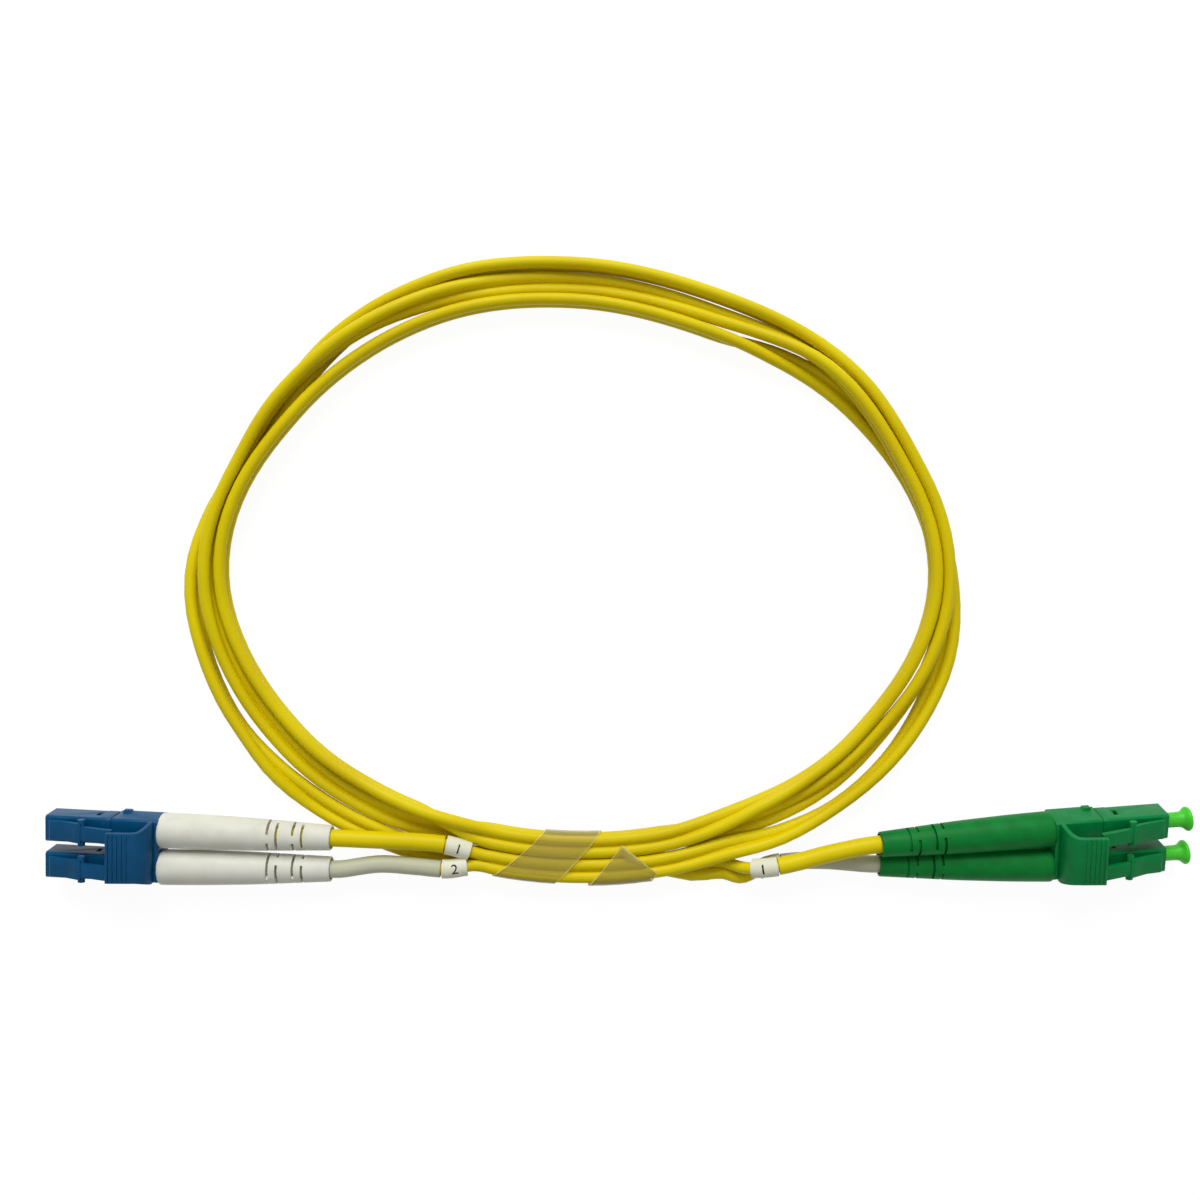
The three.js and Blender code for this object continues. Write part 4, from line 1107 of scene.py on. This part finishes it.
# %% Clip
GROOVE_WIDTH, GROOVE_DEPTH, GROOVE_END = 1.2, 1.4, 1.5
NUB_START, NUB_LENGTH, NUB_HEIGHT, NUB_REACH, NUB_LEVEL = 0.6, 1.7, 1.0, 0.4, 0.6
BAND_LENGTH, BAND_INSET = 1.7, 0.07
CAVITY = 3.1 + 2 * SEAT_GAP
BACK_LENGTH = 0.6  # how far the back wall stands out over the boots' ends


def duplex_clip():
    band_end = CLIP_START + BAND_LENGTH
    body = bar("clip", [(x, clip_outline(inset)) for x, inset in (
        (CLIP_START, BAND_INSET), (band_end, BAND_INSET),
        (band_end + 0.1, 0), (CLIP_END + BACK_LENGTH, 0),
    )])
    cutters = [
        block(
            "cavity", (CLIP_START - PAST, y - CAVITY / 2, -CAVITY / 2),
            (CLIP_END + PAST, y + CAVITY / 2, CAVITY / 2),
        )
        for y in (-PLUG_PITCH / 2, PLUG_PITCH / 2)
    ]
    cutters.append(block(
        "groove", (CLIP_START - PAST, -GROOVE_WIDTH / 2, HALF - GROOVE_DEPTH),
        (CLIP_END - GROOVE_END, GROOVE_WIDTH / 2, HALF + PAST),
    ))
    combine(body, cutters, "DIFFERENCE")
    nubs = []
    for side in (-1, 1):
        near, far = side * (CLIP_HALF_WIDTH - SEAT_GAP), side * (CLIP_HALF_WIDTH + NUB_REACH)
        x0 = CLIP_START + NUB_START
        z0 = CLIP_BOTTOM + NUB_LEVEL
        outline = [
            (x0, near), (x0 + 0.15, far), (x0 + NUB_LENGTH - 0.35, far), (x0 + NUB_LENGTH, near),
        ]
        rings = [[(x, y, z) for x, y in outline] for z in (z0, z0 + NUB_HEIGHT)]
        nubs.append(skin("nub", rings))
    combine(body, nubs, "UNION")
    return round_edges(body, 0.12)


# %% [markdown]
# ## Trigger
#
# One trigger spans both latches. It stands on the clip's back edge, sweeps
# forward in an S and ends in a plate with ridges for the fingertip. Pressing the
# plate pushes both tails down. Its two faces are smooth curves through a few
# points, and cross-sections are set between them. The ridges repeat, so a
# Geometry Nodes tree sets them out.

# %% Trigger plate
TRIGGER_WIDTH, TRIGGER_THICKNESS, TRIGGER_REACH = 8.5, 0.8, 6.4
TRIGGER_TAIL_GAP, TRIGGER_SLOPE, TRIGGER_RISER = 0.4, 0.13, 2.8
TRIGGER_ROOT = HALF + LATCH_GAP
RISER_RINGS, RISER_FLARE = 14, 0.85  # the flare ends at this share of the curved part
TRIGGER_LOW = TAIL_TOP + TRIGGER_TAIL_GAP
TRIGGER_FREE, TRIGGER_FLAT = CLIP_END - TRIGGER_REACH, CLIP_END - TRIGGER_RISER


def trigger_under(x):
    """Height of the plate's underside."""
    return TRIGGER_LOW + TRIGGER_SLOPE * (LATCH_ROOT + LATCH_REACH - x)


def even_points(knots, count):
    """A given number of evenly spaced points on a smooth curve in X and Z."""
    fine = smooth_curve([(x, 0, z) for x, z in knots], 0.05)
    places = np.linspace(0, len(fine) - 1, count)
    return [fine[round(place)] for place in places]


def trigger_plate():
    """Cross-sections from the foot to the free end. The foot is as wide as the clip."""
    bend, t = trigger_under(TRIGGER_FLAT), TRIGGER_THICKNESS
    outer = even_points([
        (CLIP_END, TRIGGER_ROOT), (CLIP_END - 0.02, TRIGGER_ROOT + 0.9),
        (CLIP_END - 0.4, bend - 0.7), (CLIP_END - 1.3, bend + 0.4), (TRIGGER_FLAT, bend + t),
    ], RISER_RINGS)
    inner = even_points([
        (CLIP_END - t, TRIGGER_ROOT), (CLIP_END - t, TRIGGER_ROOT + 0.7),
        (CLIP_END - 1.2, bend - 1.3), (CLIP_END - 1.9, bend - 0.45), (TRIGGER_FLAT, bend),
    ], RISER_RINGS)
    free = (TRIGGER_FREE, 0, trigger_under(TRIGGER_FREE))
    outer.append(np.array(free) + (0, 0, t))
    inner.append(np.array(free))
    rings = []
    for i, (top, low) in enumerate(zip(outer, inner)):
        share = min(i / (RISER_RINGS - 1) / RISER_FLARE, 1)
        flare = 1 - share * share * (3 - 2 * share)
        half = TRIGGER_WIDTH / 2 + (CLIP_HALF_WIDTH - TRIGGER_WIDTH / 2 - 0.05) * flare
        corners = ((top, -half), (top, half), (low, half), (low, -half))
        rings.append([(p[0], y, p[2]) for p, y in corners])
    return round_edges(skin("trigger", rings), 0.13, 3, angle=50)


# %% Ridges by Geometry Nodes
RIDGE_COUNT, RIDGE_HEIGHT, RIDGE_WIDTH, RIDGE_PITCH = 5, 0.2, 0.42, 0.72


def ridge_tree():
    """A row of bars across Y. Its inputs are sizes, in this piece's millimetres."""
    tree = bpy.data.node_groups.new("finger_ridges", "GeometryNodeTree")
    face = tree.interface
    face.new_socket("Geometry", in_out="INPUT", socket_type="NodeSocketGeometry")
    for name, kind in (
        ("Count", "NodeSocketInt"), ("Step", "NodeSocketVector"),
        ("First", "NodeSocketVector"), ("Material", "NodeSocketMaterial"),
    ):
        face.new_socket(name, in_out="INPUT", socket_type=kind)
    face.new_socket("Geometry", in_out="OUTPUT", socket_type="NodeSocketGeometry")
    given = add_node(tree, "NodeGroupInput").outputs
    row = add_node(
        tree, "GeometryNodeMeshLine",
        {"Count": given["Count"], "Start Location": given["First"], "Offset": given["Step"]},
        mode="OFFSET",
    ).outputs["Mesh"]
    copies = add_node(
        tree, "GeometryNodeInstanceOnPoints", {"Points": row, "Instance": given["Geometry"]}
    ).outputs["Instances"]
    real = add_node(
        tree, "GeometryNodeRealizeInstances", {"Geometry": copies}
    ).outputs["Geometry"]
    dressed = add_node(
        tree, "GeometryNodeSetMaterial", {"Geometry": real, "Material": given["Material"]}
    ).outputs["Geometry"]
    add_node(tree, "NodeGroupOutput", {"Geometry": dressed})
    return tree


RIDGE_TREE = ridge_tree()


def set_input(step, name, value):
    """Sets a node modifier's input by the identifier of the socket with that name."""
    for item in step.node_group.interface.items_tree:
        if item.name == name and item.in_out == "INPUT":
            step[item.identifier] = value


def finger_ridges(material):
    """Five bars sunk a little into the plate, each with a sharp front and a soft back."""
    w, h = RIDGE_WIDTH, RIDGE_HEIGHT
    sunk = 0.06
    outline = [(0, -sunk), (-0.2 * w, h), (-0.75 * w, h), (-w, -sunk)]
    ridge = plate("finger_ridges", outline, TRIGGER_WIDTH - 0.3)
    round_edges(ridge, 0.05, 2)
    first = TRIGGER_FREE + RIDGE_WIDTH + 0.15 + (RIDGE_COUNT - 1) * RIDGE_PITCH
    step = ridge.modifiers.new("row", "NODES")
    step.node_group = RIDGE_TREE
    set_input(step, "Count", RIDGE_COUNT)
    set_input(step, "First", (first, 0, trigger_under(first) + TRIGGER_THICKNESS))
    set_input(step, "Step", (-RIDGE_PITCH, 0, TRIGGER_SLOPE * RIDGE_PITCH))
    set_input(step, "Material", material)
    return settle(ridge)


# %% [markdown]
# ## Boots
#
# A boot is a hollow rubber cone that stops the cord from kinking at the plug. It
# tapers slowly, then has four rings of slots that let its tip bend. The body is
# turned, and each ring of slots is two curved cutters, with a narrow bridge left
# between them. Every second ring is turned by a quarter.

# %% Boot
BOOT_TIP_DIAMETER = 4.15
BOOT_FRONT, BOOT_RADIUS = CLIP_END + BACK_LENGTH - 0.06, 2.95
BOOT_ROUNDING = [(0, 0.35), (0.06, 0.15), (0.2, 0.04), (0.5, 0.01)]
BOOT_PROFILE = [(0.0, 2.95), (0.24, 2.91), (0.38, 2.82), (0.52, 2.72), (0.66, 2.55), (0.8, 2.35)]
SLOT_PLACES, SLOT_WIDTH = [18.3, 19.8, 22.5, 24.0], 0.42
SLOT_ARC = 146
SLOT_FLOOR = {"blue": 1.0, "green": 1.95}  # the white boots are cut right through


def slot_cutter(place, middle, floor):
    """A curved cutter over an arc of the boot, in its wall."""
    turns = [math.radians(middle + SLOT_ARC * (k / 12 - 0.5)) for k in range(13)]
    outer = [(4 * math.cos(t), 4 * math.sin(t)) for t in turns]
    inner = [(floor * math.cos(t), floor * math.sin(t)) for t in turns[::-1]]
    start = BOOT_START + place
    return bar("slot", [(x, outer + inner) for x in (start, start + SLOT_WIDTH)])


def boot(spin, floor):
    """spin turns the rings of slots about the boot's own axis."""
    tip = BOOT_TIP_DIAMETER / 2
    knots = [(BOOT_START + s * BOOT_LENGTH, 0, r) for s, r in BOOT_PROFILE]
    knots.append((BOOT_END, 0, tip))
    outside = [(p[0], p[2]) for p in smooth_curve(knots, 1.4)]
    body = turned("boot", [
        (BOOT_FRONT, BOOT_CAVITY / 2 - 0.3),
        *[(BOOT_FRONT + x, BOOT_RADIUS - below) for x, below in BOOT_ROUNDING],
        *outside[1:-1],
        (BOOT_END - 0.12, tip), (BOOT_END, tip - 0.12),
        (BOOT_END, BOOT_BORE / 2 + 0.1), (BOOT_END - 0.1, BOOT_BORE / 2),
        (BOOT_CAVITY_END, BOOT_BORE / 2), (BOOT_CAVITY_END, BOOT_CAVITY / 2),
        (BOOT_FRONT + 0.3, BOOT_CAVITY / 2),
    ], 56)
    cutters = []
    for i, place in enumerate(SLOT_PLACES):
        quarter = 90 * (i % 2)
        cutters += [slot_cutter(place, spin + quarter + half, floor) for half in (0, 180)]
    combine(body, cutters, "DIFFERENCE")
    return round_edges(body, 0.05, 1, angle=50)


# %% [markdown]
# ## Dust caps
#
# The caps plug the green end. Each has a hollow stem in the plug's socket, a
# neck, and a thin round flange with a dished face, to pull it out by.

# %% Dust cap
CAP_OUTSIDE, CAP_NECK, CAP_FLARE, CAP_INSIDE = 4.3, 2.0, 2.0, 3.2


def dust_cap():
    outer, inner = SOCKET_DIAMETER / 2 - 0.3, 0.925
    profile = [
        (CAP_INSIDE, inner), (CAP_INSIDE, outer), (-CAP_NECK, outer),
        (-CAP_OUTSIDE + 1.5, outer + 0.04), (-CAP_OUTSIDE + 1.05, outer + 0.16),
        (-CAP_OUTSIDE + 0.75, outer + 0.42), (-CAP_OUTSIDE + 0.52, CAP_FLARE - 0.12),
        (-CAP_OUTSIDE + 0.38, CAP_FLARE - 0.02), (-CAP_OUTSIDE + 0.15, CAP_FLARE),
        (-CAP_OUTSIDE, CAP_FLARE - 0.1), (-CAP_OUTSIDE + 0.02, CAP_FLARE - 0.4),
        (-CAP_OUTSIDE + 0.2, CAP_FLARE - 0.65), (-CAP_OUTSIDE + 0.35, CAP_FLARE - 1.0),
        (-CAP_OUTSIDE + 0.45, 0.0001), (-CAP_NECK + 0.4, 0.0001), (-CAP_NECK + 0.4, inner),
    ]
    return turned("dust_cap", profile, 48)


# %% [markdown]
# ## Springs
#
# A coil spring behind each ferrule pushes it forward. It is round wire on the CAD
# spring's own helix. It stands on the backbone.

# %% Spring
SPRING_WIRE, SPRING_DIAMETER, SPRING_COILS = 0.3, 2.2, 5
SPRING_SPAN = (6.8, 9.4)  # the middle of its first and last wire
SPRING_SIDES = 24  # steps in each coil


def coil_spring():
    steps = SPRING_SIDES * SPRING_COILS
    turns = np.arange(steps + 1) * 2 * math.pi / SPRING_SIDES
    out = np.stack([0 * turns, np.cos(turns), np.sin(turns)], axis=1)
    centres = out * SPRING_DIAMETER / 2
    centres[:, 0] = np.linspace(*SPRING_SPAN, steps + 1)
    return sweep("spring", centres, out, circle(SPRING_WIRE / 2, 10), 1)


def squash_behind_ferrule(spring):
    """Gives the spring its own copy of its mesh."""
    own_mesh(spring)


# %% [markdown]
# ## Both ends put together
#
# The same makers serve both ends. Every piece rides on the CAD body of the solid
# that it replaces: the latches, the trigger and the caps move, and the rest is
# one body with the cord.

# %% Assemble the ends
END_MATERIALS = {"blue": (BLUE_PBT, WHITE_TPE), "green": (GREEN_PBT, GREEN_TPE)}
BOOT_SPIN = {("blue", 1): -2, ("blue", 2): 42, ("green", 1): 50, ("green", 2): 6}


def place_piece(made, name, matrix, material, body, node, slot, smooth=40):
    made.name = made.data.name = name
    return dress(made, material, slot, node, matrix, body, smooth)


for end, (shell, rubber) in END_MATERIALS.items():
    plastic, rubber_slot = f"{end}_plastic", "white_rubber" if end == "blue" else "green_rubber"
    for line in (1, 2):
        there = plug_matrix(end, line)
        place_piece(
            housing(), f"{end}_plug_housing_{line}", there, shell,
            "cord_and_plugs", f"{end}_housing_{line}", plastic,
        )
        place_piece(
            latch_arm(), f"{end}_sprung_latch_{line}", there, shell,
            f"{end}_latch_arm_{line}", f"{end}_latch_{line}", plastic,
        )
        place_piece(
            boot(BOOT_SPIN[end, line], SLOT_FLOOR[end]), f"{end}_bend_boot_{line}",
            boot_matrix(end, line), rubber,
            "cord_and_plugs", f"{end}_boot_{line}", rubber_slot,
        )
        spring = place_piece(
            coil_spring(), f"{end}_ferrule_spring_{line}", there, SPRING_STEEL,
            "cord_and_plugs", f"{end}_spring_{line}", "spring_steel", smooth=80,
        )
        squash_behind_ferrule(spring)
        if end == "green":
            place_piece(
                dust_cap(), f"lime_dust_cap_{line}", there, LIME_PE,
                f"green_dust_cap_body_{line}", f"green_dust_cap_{line}", "lime_plastic",
            )
    place_piece(
        duplex_clip(), f"{end}_duplex_clip", end_matrix(end), shell,
        "cord_and_plugs", f"{end}_clip", plastic,
    )
    place_piece(
        trigger_plate(), f"{end}_trigger_plate", end_matrix(end), shell,
        f"{end}_trigger_body", f"{end}_trigger", plastic,
    )
    place_piece(
        finger_ridges(shell), f"{end}_finger_ridges", end_matrix(end), shell,
        f"{end}_trigger_body", None, plastic,
    )
    print(end, "end dressed")

# %% [markdown]
# ## CAD solids that keep their shape
#
# The ferrules, flanges, crimp rings and the other parts inside the plugs are
# already round where they should be, and little of them shows. They keep the CAD
# shape and only get their real materials.

# %% Materials on the CAD solids
CAD_MATERIALS = {
    "ferrule": ZIRCONIA, "ferrule_flange": NICKEL_BRASS,
    "backbone": INNER_ABS, "buffered_fibre": BUFFER_PVC, "crimp_ring": CRIMP_ALUMINIUM,
}
for end in ENDS:
    for line in (1, 2):
        for node, material in CAD_MATERIALS.items():
            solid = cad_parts[f"{end}_{node}_{line}"]
            for used in solid.material_slots:
                used.material = material
print("kept CAD solids:", len(CAD_MATERIALS) * 4)

# %% [markdown]
# ## Floor and light
#
# The cord lies on a white table under a large soft light that comes from the
# far side, so the sides of the plugs that face away from us are the brightest.
# The floor still takes the cord's shadow, softly, and to the camera it is mostly
# plain white, as in a catalogue picture.

# %% Floor
FLOOR_SIZE = 3.0
FLOOR_WHITE, FLOOR_GLOW = 0.88, 1.07  # how much of the shadow it hides, and its own white


def seen_directly(tree):
    """1 for rays that show the background: camera, mirror and see-through rays."""
    paths = add_node(tree, "ShaderNodeLightPath").outputs
    first = calculate(tree, "MAXIMUM", paths["Is Camera Ray"], paths["Is Glossy Ray"])
    return calculate(tree, "MAXIMUM", first, paths["Is Transmission Ray"])


def mix(tree, share, first, second):
    """Two shaders mixed: share says how much of the second shows."""
    inputs = {"Fac": share, 1: first.outputs[0], 2: second.outputs[0]}
    return add_node(tree, "ShaderNodeMixShader", inputs).outputs[0]


def white_table():
    """A matt white sheet that keeps a share of the shadow that falls on it."""
    material = bpy.data.materials.new("white_table")
    tree = empty_tree(material)
    paper = add_node(tree, "ShaderNodeBsdfDiffuse", {"Color": linear("f2f2f2")})
    plain = add_node(tree, "ShaderNodeEmission", {"Color": (1, 1, 1, 1), "Strength": FLOOR_GLOW})
    share = calculate(tree, "MULTIPLY", seen_directly(tree), FLOOR_WHITE)
    add_node(tree, "ShaderNodeOutputMaterial", {"Surface": mix(tree, share, paper, plain)})
    return material


half_floor, table_top = FLOOR_SIZE / 2, -0.0001
floor_mesh = bpy.data.meshes.new("table")
floor_mesh.from_pydata(
    [(x * half_floor, y * half_floor, table_top) for x, y in ((-1, -1), (1, -1), (1, 1), (-1, 1))],
    [], [(0, 1, 2, 3)],
)
floor = bpy.data.objects.new("table", floor_mesh)
bpy.context.scene.collection.objects.link(floor)
floor.data.materials.append(white_table())

# %% Light
LAMPS = [
    # name, place in metres, size in metres, watts
    ("window_light", (-0.05, 0.80, 0.60), 0.6, 7.5),
    ("overhead_light", (0.0, 0.05, 0.9), 0.9, 1.0),
]
for name, place, size, watts in LAMPS:
    light = bpy.data.lights.new(name, "AREA")
    light.size, light.energy = size, watts
    lamp = bpy.data.objects.new(name, light)
    lamp.location = place
    lamp.rotation_euler = (-Vector(place)).to_track_quat("-Z", "Y").to_euler()
    bpy.context.scene.collection.objects.link(lamp)

world = bpy.data.worlds.new("studio")
bpy.context.scene.world = world
sky = empty_tree(world)
room, backdrop = (
    add_node(sky, "ShaderNodeBackground", {"Color": (1, 1, 1, 1), "Strength": strength})
    for strength in (0.24, 1.0)
)
shown = mix(sky, seen_directly(sky), room, backdrop)
add_node(sky, "ShaderNodeOutputWorld", {"Surface": shown})
bpy.context.scene.view_settings.view_transform = "Standard"
print("lamps:", [lamp[0] for lamp in LAMPS])
